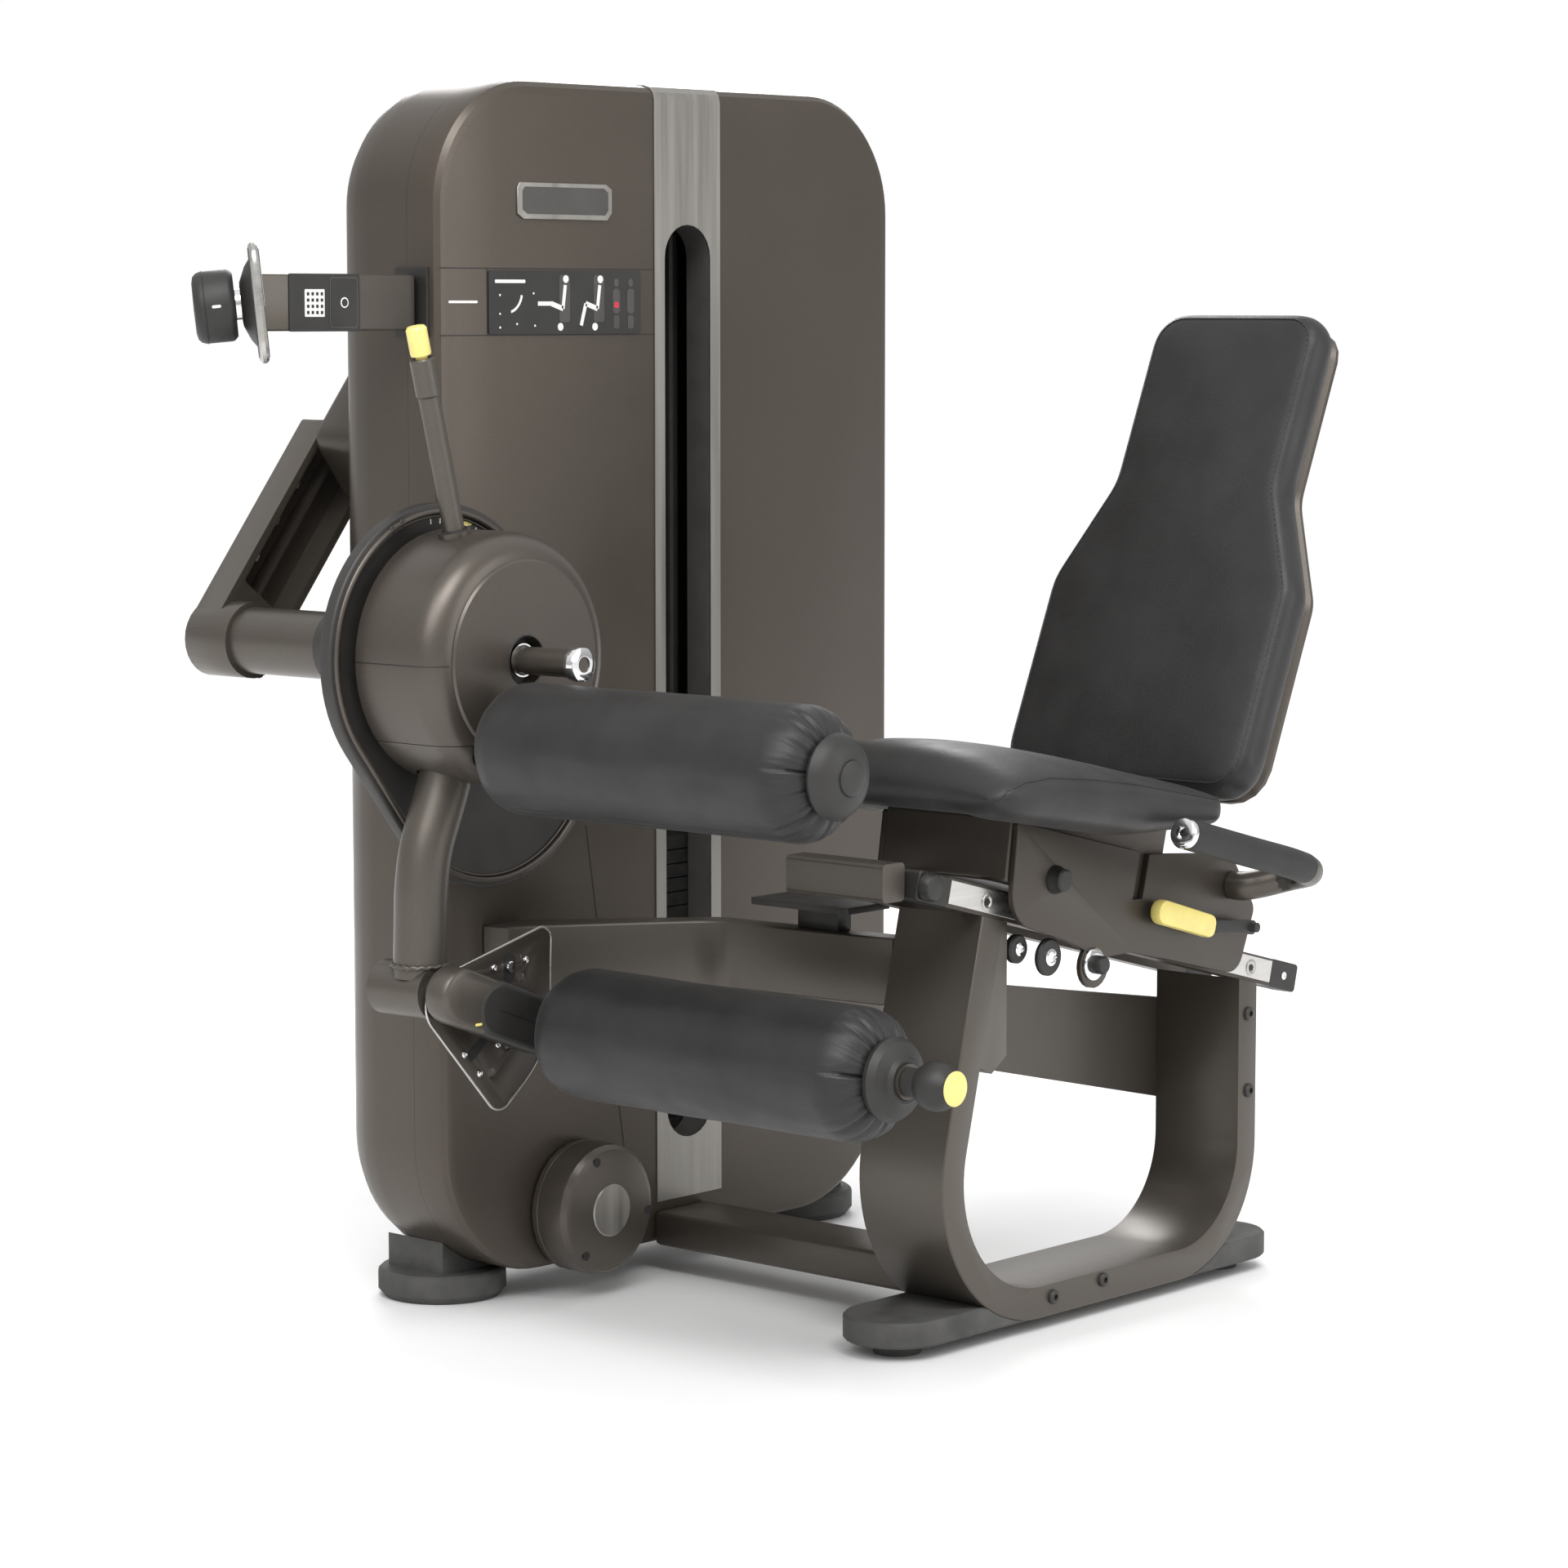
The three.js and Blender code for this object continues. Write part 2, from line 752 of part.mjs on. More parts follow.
function indexPlate() {
  const plate = slabXZ(
    roundedOutline([
      [PIVOT_X - 52, PIVOT_Z + 6, 34],
      [PIVOT_X + 178, PIVOT_Z + 64, 16],
      [PIVOT_X + 172, PIVOT_Z - 84, 110],
      [PIVOT_X + 90, PIVOT_Z - 154, 22],
    ]),
    -135.3,
    -131,
  );
  const holes = INDEX_HOLE_ANGLES.map((degrees) => {
    const angle = THREE.MathUtils.degToRad(degrees);
    const x = PIVOT_X + INDEX_HOLE_RADIUS * Math.cos(angle);
    const z = PIVOT_Z + INDEX_HOLE_RADIUS * Math.sin(angle);
    return cylinderY(6, -150, -120, x, z, 10);
  });
  return cut(plate, cylinderY(12.8, -150, -120, PIVOT_X, PIVOT_Z, 16), ...holes);
}

// A cushion roller's profile: full in the middle with rounded ends, with a bore for its tube
function rollerPad(x, z, bore) {
  const round = 42;
  const steps = 3;
  const profile = [[bore, ROLLER_FRONT_Y]];
  const corner = (centreY, startAngle) => {
    for (let step = 0; step <= steps; step += 1) {
      const angle = startAngle + (step / steps) * (Math.PI / 2);
      profile.push([
        ROLLER_RADIUS - round + round * Math.sin(angle),
        centreY - round * Math.cos(angle),
      ]);
    }
  };
  corner(ROLLER_FRONT_Y + round, 0);
  corner(ROLLER_BACK_Y - round, Math.PI / 2);
  profile.push([bore, ROLLER_BACK_Y], [bore, ROLLER_FRONT_Y]);
  return turnedY(profile, x, z, 22);
}

const TUBE_RADIUS = 20;

function tibiaTube() {
  const straight = tubeAlong(
    [
      [TIBIA_X + 25, -104, TIBIA_Z],
      [TIBIA_X + 6, -120, TIBIA_Z],
      [TIBIA_X, -140, TIBIA_Z],
      [TIBIA_X, -190, TIBIA_Z],
    ],
    TUBE_RADIUS,
    8,
    16,
  );
  return join(straight, cylinderY(TUBE_RADIUS, -690, -188, TIBIA_X, TIBIA_Z, 16));
}

const tibiaCap = () =>
  turnedY(
    [
      [0, -716],
      [20, -714.5],
      [34, -710],
      [43, -703],
      [47, -695],
      [45, -690 - GAP],
      [0, -690 - GAP],
    ],
    TIBIA_X,
    TIBIA_Z,
    24,
  );

function ankleCrank() {
  const arm = slabXZ(hullOfTwo([PIVOT_X, PIVOT_Z, 33], [ANKLE_X, ANKLE_Z, 31]), -175, -138, 8, 5, 2);
  const pin = cylinderY(12, -150, -75, PIVOT_X, PIVOT_Z, 16);
  return join(arm, pin);
}

const ankleTube = () =>
  cut(
    cylinderY(TUBE_RADIUS, -718, -175 - GAP, ANKLE_X, ANKLE_Z, 16),
    cylinderY(9, -730, -640, ANKLE_X, ANKLE_Z, 12),
  );

function ankleFlange() {
  return turnedY(
    [
      [TUBE_RADIUS + 0.6, -716],
      [24, -716],
      [28, -711],
      [42, -705],
      [47, -697],
      [45, -690 - GAP],
      [TUBE_RADIUS + 0.6, -690 - GAP],
      [TUBE_RADIUS + 0.6, -716],
    ],
    ANKLE_X,
    ANKLE_Z,
    24,
  );
}

function ankleKnob() {
  const ball = 27;
  const centre = -757;
  const profile = [
    [0, centre - 25],
    [17, centre - 24.5],
  ];
  for (let step = 2; step <= 6; step += 1) {
    const angle = (step / 6) * Math.PI * 0.86;
    profile.push([ball * Math.sin(angle + 0.2), centre - ball * Math.cos(angle + 0.2)]);
  }
  profile.push([16, -728], [16, -719], [8, -718.6], [8, -650], [0, -650]);
  return turnedY(profile, ANKLE_X, ANKLE_Z, 18);
}

const counterweightShaft = () =>
  cylinderY(SHAFT_RADIUS, DRUM_REAR_Y + GAP, 272, HUB_X, HUB_Z, 28);

const ARM_ANGLE = THREE.MathUtils.degToRad(38);

// A point given outwards along the counterweight arm and to its right
function onArm(out, right) {
  return [
    HUB_X + out * Math.sin(ARM_ANGLE) + right * Math.cos(ARM_ANGLE),
    HUB_Z + out * Math.cos(ARM_ANGLE) - right * Math.sin(ARM_ANGLE),
  ];
}

const armOutline = (corners) =>
  roundedOutline(corners.map(([out, right, radius = 0]) => [...onArm(out, right), radius]));

function counterweightArm() {
  const casting = cylinderY(46, 272 + GAP, 345, HUB_X, HUB_Z, 28);
  const beam = slabXZ(
    armOutline([
      [-20, -44, 8],
      [-20, 60, 8],
      [300, 60, 8],
      [300, -44, 8],
    ]),
    301,
    345,
  );
  const channel = slabXZ(
    armOutline([
      [62, -34, 5],
      [62, 50, 5],
      [270, 50, 5],
      [270, -34, 5],
    ]),
    290,
    337,
  );
  const rib = slabXZ(
    armOutline([
      [60, 4],
      [60, 10],
      [275, 10],
      [275, 4],
    ]),
    318,
    340,
  );
  return join(cut(join(casting, beam), channel), rib);
}

function counterweightBlock() {
  return slabXZ(
    armOutline([
      [258, -56, 28],
      [226, 60, 16],
      [226, 120, 30],
      [470, 120, 34],
      [450, -56, 34],
    ]),
    226,
    301 - GAP,
    14,
    3,
    2,
  );
}

function buildHub() {
  addPiece("bearing_housing", bearingHousing(), BLACK_PLASTIC);
  addPiece("cam_plate", camPlate(), DARK_METAL);
  addPiece("hub_drum", hubDrum(), BRONZE);
  addPiece("hub_lower_cover", hubLowerCover(), BRONZE);
  addPiece("hub_front_cover", hubFrontCover(), BRONZE);
  addPiece("hub_handle", hubHandle(), BRONZE);
  addPiece("selector_rod", selectorRod(), BRONZE);
  addPiece("selector_button", selectorButton(), YELLOW);
  addPiece("lever_tube", leverTube(), BRONZE);
  addPiece("index_plate", indexPlate(), STEEL);
  addPiece("counterweight_shaft", counterweightShaft(), BRONZE);
  addPiece("counterweight_arm", counterweightArm(), BRONZE);
  addPiece("counterweight_block", counterweightBlock(), BRONZE);
}

function buildRollers() {
  addPiece("tibia_tube", tibiaTube(), BRONZE);
  addPiece("tibia_pad", rollerPad(TIBIA_X, TIBIA_Z, TUBE_RADIUS + 0.5), LEATHER);
  addPiece("tibia_cap", tibiaCap(), BLACK_PLASTIC);
  addPiece("ankle_crank", ankleCrank(), BRONZE);
  addPiece("ankle_tube", ankleTube(), BRONZE);
  addPiece("ankle_pad", rollerPad(ANKLE_X, ANKLE_Z, TUBE_RADIUS + 0.5), LEATHER);
  addPiece("ankle_flange", ankleFlange(), BLACK_PLASTIC);
  addPiece("ankle_knob", ankleKnob(), BLACK_PLASTIC);
}

// Seat frame
const BEAM_THICKNESS = 34;

// A deep bent plate from the tower's front to the far side of the seat frame
function curvedBeam() {
  const endY = BAND_FAR_Y + GAP;
  const shape = roundedOutline([
    [66, -2, 0],
    [76, -34, 6],
    [276, -178, 60],
    [301, endY, 0],
    [301 + BEAM_THICKNESS, endY, 0],
    [276 + BEAM_THICKNESS, -162, 40],
    [132, -2, 0],
  ]);
  return slabXY(shape, 386, 466, 2, 5);
}

const baseBeam = () =>
  slabXY(
    roundedOutline([
      [361, BAND_FAR_Y + GAP, 0],
      [455, BAND_FAR_Y + GAP, 0],
      [455, -2.2, 0],
      [361, -2.2, 0],
    ]),
    34,
    76,
    3,
    4,
  );

const BAND_THICKNESS = 38;
const FRONT_LEG_LEAN = THREE.MathUtils.degToRad(14);

// The seat frame's outer line, moved inwards by an inset
function bandLine(inset) {
  const lean = Math.tan(FRONT_LEG_LEAN);
  const legX = (z) => 249 + (z - 249) * lean + inset / Math.cos(FRONT_LEG_LEAN);
  const rearX = 850 - inset;
  const bottom = 16 + inset;
  return [
    [legX(560), 560, 0],
    [legX(bottom), bottom, 180 - inset],
    [rearX, bottom, 155 - inset],
    [rearX, 560, 0],
  ];
}

const RAIL_HALF = 17;

function aboveRail(clearance) {
  return slabXZ(
    railOutline([
      [-400, -RAIL_HALF - clearance],
      [900, -RAIL_HALF - clearance],
      [900, 400],
      [-400, 400],
    ]),
    -900,
    0,
  );
}

function seatFrameLoop() {
  const outer = slabXZ(roundedOutline(bandLine(0)), BAND_NEAR_Y, BAND_FAR_Y, 1.5, 14);
  const inner = slabXZ(roundedOutline(bandLine(BAND_THICKNESS)), -700, -300, 0, 14);
  const gusset = slabXZ(
    roundedOutline([
      [300, 332, 0],
      [330, 318, 0],
      [357, 336, 0],
      [357, 560, 0],
      [320, 560, 0],
    ]),
    BAND_NEAR_Y + 1,
    BAND_FAR_Y - 1,
  );
  return cut(join(cut(outer, inner), gusset), aboveRail(GAP));
}

function crossPanel() {
  return slabXZ(
    roundedOutline([
      [336, 322, 0],
      [849, 204, 0],
      [849, 332, 0],
      [336, 416, 0],
    ]),
    BAND_FAR_Y + GAP,
    BAND_FAR_Y + 18,
  );
}

// A stadium foot plate under one end of the seat frame, on a round pad
function seatFoot(padX, endX) {
  const side = Math.sign(endX - padX);
  const centreY = (BAND_NEAR_Y + BAND_FAR_Y) / 2;
  const half = (BAND_FAR_Y - BAND_NEAR_Y) / 2 - 1;
  const plate = slabXY(
    roundedOutline([
      [padX - side * half, centreY - half, half - 1],
      [endX, centreY - half, 0],
      [endX, centreY + half, 0],
      [padX - side * half, centreY + half, half - 1],
    ]),
    16,
    46,
    3,
    6,
  );
  const pad = cylinderZ(28, 0, 17, padX, centreY, 20);
  const loop = slabXZ(roundedOutline(bandLine(-GAP)), -700, -300, 0, 14);
  return cut(join(plate, pad), loop);
}

const RAIL_START = -74;
const RAIL_END = 583;
const NEAR_RAIL_Y = [-560, -530];
const FAR_RAIL_Y = [SEAT_Y * 2 + 530, SEAT_Y * 2 + 560];

function railBar([lowY, highY]) {
  const bar = slabXZ(
    railOutline([
      [RAIL_START, -RAIL_HALF, 2],
      [RAIL_END, -RAIL_HALF, 2],
      [RAIL_END, RAIL_HALF, 2],
      [RAIL_START, RAIL_HALF, 2],
    ]),
    lowY,
    highY,
  );
  const cap = ([from, to]) =>
    slabXZ(
      railOutline([
        [from, -RAIL_HALF + 1, 6],
        [to, -RAIL_HALF + 1, 6],
        [to, RAIL_HALF - 1, 6],
        [from, RAIL_HALF - 1, 6],
      ]),
      lowY + 1,
      highY - 1,
    );
  return join(bar, cap([RAIL_START - 52, RAIL_START + 8]), cap([RAIL_END - 8, RAIL_END + 52]));
}

function crossTube() {
  const [x, z] = onRail(-140, 0);
  return slabXZ(
    roundedBoxXZ(x - 32, x + 6, z - 22, z + 22, 6),
    NEAR_RAIL_Y[0] + 14,
    FAR_RAIL_Y[1],
  );
}

function supportBracket() {
  const plate = slabXY(
    roundedOutline([
      [262, -400, 4],
      [342, -400, 4],
      [342, -250, 4],
      [262, -250, 4],
    ]),
    494,
    502,
  );
  const spacer = box(302, 326, -352, -290, 466 + GAP, 496);
  return join(plate, spacer);
}

function buildSeatFrame() {
  addPiece("curved_beam", curvedBeam(), BRONZE);
  addPiece("base_beam", baseBeam(), BRONZE);
  addPiece("seat_frame", seatFrameLoop(), BRONZE);
  addPiece("cross_panel", crossPanel(), BRONZE);
  addPiece("seat_foot_front", seatFoot(236, 460), RUBBER);
  addPiece("seat_foot_rear", seatFoot(852, 640), RUBBER);
  addPiece("rail_near", railBar(NEAR_RAIL_Y), STEEL);
  addPiece("rail_far", railBar(FAR_RAIL_Y), STEEL);
  addPiece("front_cross_tube", crossTube(), BRONZE);
  addPiece("support_bracket", supportBracket(), DARK_METAL);
}

// Seat carriage
const NEAR_PLATE_Y = [-583, -575];
const FAR_PLATE_Y = [SEAT_Y * 2 + 575, SEAT_Y * 2 + 583];

function nearPlate() {
  const plate = slabXZ(
    railOutline([
      [5, 96, 4],
      [20, -18, 44],
      [130, -24, 0],
      [168, -30, 0],
      [216, -30, 0],
      [262, -18, 0],
      [478, -14, 26],
      [491, 71, 16],
      [425, 128, 10],
      [262, 100, 0],
      [262, 46, 0],
      [243, 42, 0],
      [243, 100, 4],
    ]),
    ...NEAR_PLATE_Y,
    1,
  );
  const [lobeX, lobeZ] = onRail(191, -44);
  const lobe = cylinderY(27, NEAR_PLATE_Y[0] + 1, NEAR_PLATE_Y[1] - 1, lobeX, lobeZ, 20);
  const [bossX, bossZ] = onRail(89, 42);
  const boss = cylinderY(13, NEAR_PLATE_Y[0] - 14, NEAR_PLATE_Y[0] + 2, bossX, bossZ, 14);
  return join(plate, lobe, boss);
}

function farPlate() {
  return slabXZ(
    railOutline([
      [5, 96, 4],
      [14, 2, 30],
      [478, 2, 26],
      [491, 71, 16],
      [425, 128, 10],
      [262, 100, 0],
    ]),
    ...FAR_PLATE_Y,
    1,
  );
}

function seatBase() {
  return slabXZ(
    railOutline([
      [10, 26, 6],
      [300, 26, 6],
      [300, 149.8, 6],
      [91.6, 116.4, 0],
      [2, 101, 6],
    ]),
    NEAR_PLATE_Y[1] + GAP,
    FAR_PLATE_Y[0] - GAP,
    2,
  );
}

// The cushion hangs a little over the seat base on both sides
function seatCushion() {
  const block = slabXZ(
    roundedOutline([
      [228, 626, 22],
      [482, 581, 0],
      [640, 580, 16],
      [642, 634, 18],
      [300, 704, 60],
      [222, 704, 44],
    ]),
    SEAT_Y - SEAT_WIDTH / 2,
    SEAT_Y + SEAT_WIDTH / 2,
    10,
  );
  const channelHalf = 104.5;
  const channel = slabXZ(
    roundedOutline([
      [160, 500, 0],
      [700, 500, 0],
      [700, 584.7, 0],
      [440, 608.5, 0],
      [160, 631.6, 0],
    ]),
    SEAT_Y - channelHalf,
    SEAT_Y + channelHalf,
  );
  return cut(block, channel);
}

// The backrest is drawn lying down: x is across the seat, y up the back
const BACK_LENGTH = 624;

function backOutline(inset) {
  const wide = 185 - inset;
  const slim = 128 - inset;
  const low = inset;
  const high = BACK_LENGTH - inset;
  return roundedOutline([
    [-wide, low, 46],
    [wide, low, 46],
    [wide, 262, 60],
    [slim, 392, 70],
    [slim, high, 40],
    [-slim, high, 40],
    [-slim, 392, 70],
    [-wide, 262, 60],
  ]);
}

// Stands a slab up so that its front face leans back from the seat
function backSlab(inset, front, back, bevel) {
  const geometry = new THREE.ExtrudeGeometry(backOutline(inset), {
    depth: back - front - 2 * bevel,
    bevelEnabled: true,
    bevelThickness: bevel,
    bevelSize: bevel,
    bevelOffset: -bevel,
    bevelSegments: 1,
    curveSegments: 2,
  });
  geometry.translate(0, 0, front + bevel);
  const across = new THREE.Vector3(0, 1, 0);
  const up = new THREE.Vector3(Math.sin(BACK_ANGLE), 0, Math.cos(BACK_ANGLE));
  const behind = new THREE.Vector3(Math.cos(BACK_ANGLE), 0, -Math.sin(BACK_ANGLE));
  geometry.applyMatrix4(new THREE.Matrix4().makeBasis(across, up, behind));
  geometry.translate(656, SEAT_Y, 622);
  return geometry;
}

function backSupport() {
  const tube = tubeAlong(
    [
      onRailPoint(306, 60, SEAT_Y),
      onRailPoint(350, 70, SEAT_Y),
      [735, SEAT_Y, 560],
      [786, SEAT_Y, 650],
      [822, SEAT_Y, 745],
    ],
    20,
  );
  const mountPlate = slabXZ(
    railOutline([
      [300.5, 30],
      [310, 30],
      [310, 104],
      [300.5, 104],
    ]),
    SEAT_Y - 60,
    SEAT_Y + 60,
  );
  return join(tube, mountPlate);
}

// A grip outside the seat, side -1 near and +1 far, bent in to the carriage plate
function handleTube(side) {
  const y = SEAT_Y + side * 219;
  const inner = SEAT_Y + side * 102.6;
  return tubeAlong(
    [
      onRailPoint(165, 118, y),
      onRailPoint(290, 118, y),
      onRailPoint(395, 118, y),
      onRailPoint(440, 116, y - side * 12),
      onRailPoint(456, 110, y - side * 48),
      onRailPoint(444, 96, inner + side * 34),
      onRailPoint(436, 90, inner + side * 16),
      onRailPoint(436, 90, inner),
    ],
    17,
    14,
    12,
  );
}

const RELEASE_PIVOT = onRail(462, 44);

function releaseLever() {
  const bar = slabXZ(
    railOutline([
      [388, 26, 6],
      [474, 36, 8],
      [474, 54, 8],
      [388, 42, 6],
    ]),
    -603,
    -593,
    1,
  );
  const axle = cylinderY(6, -612, -585, ...RELEASE_PIVOT, 16);
  return join(bar, axle);
}

function releasePaddle() {
  return slabXZ(
    railOutline([
      [268, 20, 14],
      [386, 18, 11],
      [386, 46, 11],
      [268, 50, 14],
    ]),
    -607,
    -591,
    4,
    3,
    2,
  );
}

function buildCarriage() {
  addPiece("carriage_plate_near", nearPlate(), DARK_METAL);
  addPiece("carriage_plate_far", farPlate(), DARK_METAL);
  addPiece("seat_base", seatBase(), BRONZE);
  addPiece("seat_cushion", seatCushion(), LEATHER);
  addPiece("back_cushion", backSlab(0, 0, 54, 12), LEATHER);
  addPiece("back_shell", backSlab(6, 54 + GAP, 74, 7), BRONZE);
  addPiece("back_support", backSupport(), DARK_METAL);
  addPiece("handle_near", handleTube(-1), BLACK_PLASTIC);
  addPiece("handle_far", handleTube(1), BLACK_PLASTIC);
  addPiece("release_lever", releaseLever(), BLACK_PLASTIC);
  addPiece("release_paddle", releasePaddle(), YELLOW);
}

buildTower();
buildDisplay();
buildHub();
buildRollers();
buildSeatFrame();
buildCarriage();

// The middle of the footprint goes to the origin, with the floor at Z = 0
const bounds = new THREE.Box3().setFromObject(machine);
machine.position.set(
  -(bounds.min.x + bounds.max.x) / 2,
  -(bounds.min.y + bounds.max.y) / 2,
  -bounds.min.z,
);

const root = new THREE.Group();
root.add(machine);

export default root;
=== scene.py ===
"""A seated leg curl with a weight-stack tower: finishes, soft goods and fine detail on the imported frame."""
import math

import bmesh
import bpy
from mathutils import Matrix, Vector, noise
from mathutils.bvhtree import BVHTree


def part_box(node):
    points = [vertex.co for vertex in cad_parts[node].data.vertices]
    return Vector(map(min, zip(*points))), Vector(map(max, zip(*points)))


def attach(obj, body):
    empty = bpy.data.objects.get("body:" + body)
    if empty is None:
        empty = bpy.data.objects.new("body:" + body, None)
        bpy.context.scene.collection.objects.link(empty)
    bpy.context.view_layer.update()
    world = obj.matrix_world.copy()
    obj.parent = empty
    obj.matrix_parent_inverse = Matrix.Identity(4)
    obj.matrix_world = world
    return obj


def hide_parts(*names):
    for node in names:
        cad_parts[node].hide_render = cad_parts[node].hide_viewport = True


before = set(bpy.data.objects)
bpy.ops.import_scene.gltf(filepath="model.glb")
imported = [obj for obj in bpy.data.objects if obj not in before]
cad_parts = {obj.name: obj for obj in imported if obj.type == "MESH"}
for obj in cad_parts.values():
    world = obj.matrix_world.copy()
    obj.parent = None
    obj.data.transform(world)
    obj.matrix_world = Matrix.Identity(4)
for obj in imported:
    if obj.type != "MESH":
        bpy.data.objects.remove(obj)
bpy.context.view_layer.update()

# Places are given in millimetres from the tower's front left edge at floor level,
# +X towards the backrest, +Y towards the tower's back and +Z up.
MM = 0.001
tower_corner = Vector(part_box("tower_front_shell")[0])
ORIGIN = Vector((tower_corner.x, tower_corner.y, 0.0))
AXIS_Y = Vector((0, 1, 0))
AXIS_X = Vector((1, 0, 0))
AXIS_Z = Vector((0, 0, 1))

STRIP_X = 424
HUB = (-46, 797)
TIBIA = (-95, 704)
ANKLE = (-4, 371)
PIVOT = (-133, 421)
PULLEY = (221, 107)
ROLLER_RADIUS = 75
ROLLER_FRONT_Y = -690
ROLLER_BACK_Y = -205
SEAT_Y = -481
LEVER_Y = -100
RAIL_ANGLE = math.radians(14.5)
RAIL_START = (322, 518)
BACK_ANGLE = math.radians(23.5)
BACK_FOOT = (656, 622)


def at(x, y, z):
    """A place in millimetres from the tower's corner, as a point in the scene's frame."""
    return ORIGIN + Vector((x, y, z)) * MM


def on_rail(along, up):
    """A point along the rails and square to them, as (x, z) in millimetres."""
    x = RAIL_START[0] + along * math.cos(RAIL_ANGLE) + up * math.sin(RAIL_ANGLE)
    z = RAIL_START[1] - along * math.sin(RAIL_ANGLE) + up * math.cos(RAIL_ANGLE)
    return x, z


def on_back(across, up, behind):
    """A point on the leaning backrest: across the seat, up the back and behind its front face."""
    x = BACK_FOOT[0] + up * math.sin(BACK_ANGLE) + behind * math.cos(BACK_ANGLE)
    z = BACK_FOOT[1] + up * math.cos(BACK_ANGLE) - behind * math.sin(BACK_ANGLE)
    return at(x, SEAT_Y + across, z)


# ---------------------------------------------------------------- camera

def add_camera():
    data = bpy.data.cameras.new("camera")
    data.lens = 101.6
    data.sensor_width = 36.0
    data.clip_end = 200
    camera = bpy.data.objects.new("camera", data)
    camera.location = at(-3581.2, -3715.6, 1194.7)
    camera.rotation_euler = (math.radians(90 - 6.16), 0.0, math.radians(-48.4))
    bpy.context.scene.collection.objects.link(camera)
    bpy.context.scene.camera = camera


# ---------------------------------------------------------------- materials

class Finish:
    """One node material, with helpers that add texture to its shader."""

    def __init__(self, name, base, roughness, metallic=0.0):
        self.material = bpy.data.materials.new(name)
        self.material.use_nodes = True
        self.tree = self.material.node_tree
        self.shader = self.tree.nodes["Principled BSDF"]
        self.base = base
        self.roughness = roughness
        self.set("Base Color", (*base, 1.0))
        self.set("Roughness", roughness)
        self.set("Metallic", metallic)
        self.place = self.add("ShaderNodeTexCoord").outputs["Object"]
        self.height = None

    def add(self, kind, **settings):
        node = self.tree.nodes.new(kind)
        for key, value in settings.items():
            setattr(node, key, value)
        return node

    def set(self, socket, value):
        self.shader.inputs[socket].default_value = value

    def link(self, start, end):
        self.tree.links.new(start, end)

    def stretched(self, scale):
        """The object's own coordinates, scaled differently along each axis."""
        mapping = self.add("ShaderNodeMapping")
        mapping.inputs["Scale"].default_value = scale
        self.link(self.place, mapping.inputs["Vector"])
        return mapping.outputs["Vector"]

    def noise(self, scale, detail=3.0, stretch=None):
        node = self.add("ShaderNodeTexNoise")
        node.inputs["Scale"].default_value = scale
        node.inputs["Detail"].default_value = detail
        self.link(self.stretched(stretch) if stretch else self.place, node.inputs["Vector"])
        return node.outputs["Fac"]

    def cells(self, scale, feature="F1"):
        node = self.add("ShaderNodeTexVoronoi", feature=feature)
        node.inputs["Scale"].default_value = scale
        self.link(self.place, node.inputs["Vector"])
        return node.outputs["Distance"]

    def spread(self, value, low, high, start=0.3, end=0.7):
        node = self.add("ShaderNodeMapRange")
        node.inputs["From Min"].default_value = start
        node.inputs["From Max"].default_value = end
        node.inputs["To Min"].default_value = low
        node.inputs["To Max"].default_value = high
        self.link(value, node.inputs["Value"])
        return node.outputs["Result"]

    def vary_colour(self, value, darker, lighter, start=0.3, end=0.7):
        mix = self.add("ShaderNodeMix", data_type="RGBA")
        mix.inputs["A"].default_value = (*(c * darker for c in self.base), 1.0)
        mix.inputs["B"].default_value = (*(min(1.0, c * lighter) for c in self.base), 1.0)
        self.link(self.spread(value, 0.0, 1.0, start, end), mix.inputs["Factor"])
        self.link(mix.outputs["Result"], self.shader.inputs["Base Color"])
        return self

    def vary_roughness(self, value, amount):
        low = self.roughness - amount
        high = self.roughness + amount
        self.link(self.spread(value, low, high), self.shader.inputs["Roughness"])
        return self

    def bump(self, value, distance, strength=0.5):
        node = self.add("ShaderNodeBump")
        node.inputs["Distance"].default_value = distance
        node.inputs["Strength"].default_value = strength
        self.link(value, node.inputs["Height"])
        if self.height:
            self.link(self.height, node.inputs["Normal"])
        self.height = node.outputs["Normal"]
        self.link(self.height, self.shader.inputs["Normal"])
        return self


def metallic_lacquer(name, base, roughness):
    """Satin metallic paint: fine flake, faint clouding and an orange-peel surface under clear lacquer."""
    f = Finish(name, base, roughness, 0.55)
    f.set("Coat Weight", 0.18)
    f.set("Coat Roughness", 0.28)
    f.vary_colour(f.noise(900, 2), 0.90, 1.10)
    f.vary_roughness(f.noise(7, 4), 0.05)
    f.bump(f.noise(1500, 2), 0.00008, 0.25)
    f.bump(f.noise(160, 2), 0.0002, 0.12)
    return f.material


def brushed(name, base, roughness, stretch):
    """Metal with fine lines drawn along one direction."""
    f = Finish(name, base, roughness, 0.95)
    lines = f.noise(90, 4, stretch)
    f.vary_colour(lines, 0.88, 1.08)
    f.vary_roughness(lines, 0.07)
    f.bump(lines, 0.0001, 0.25)
    return f.material


def chrome_plate():
    f = Finish("chrome_plate", (0.82, 0.82, 0.83), 0.09, 1.0)
    f.vary_roughness(f.noise(35, 5), 0.03)
    return f.material


def moulded(name, base, roughness, grain=1400):
    """Injection-moulded plastic with a spark-eroded grain and slight handling shine."""
    f = Finish(name, base, roughness)
    f.set("Specular IOR Level", 0.45)
    f.vary_colour(f.noise(25, 4), 0.86, 1.16)
    f.vary_roughness(f.noise(12, 5), 0.07)
    f.bump(f.noise(grain, 2), 0.00022, 0.45)
    return f.material


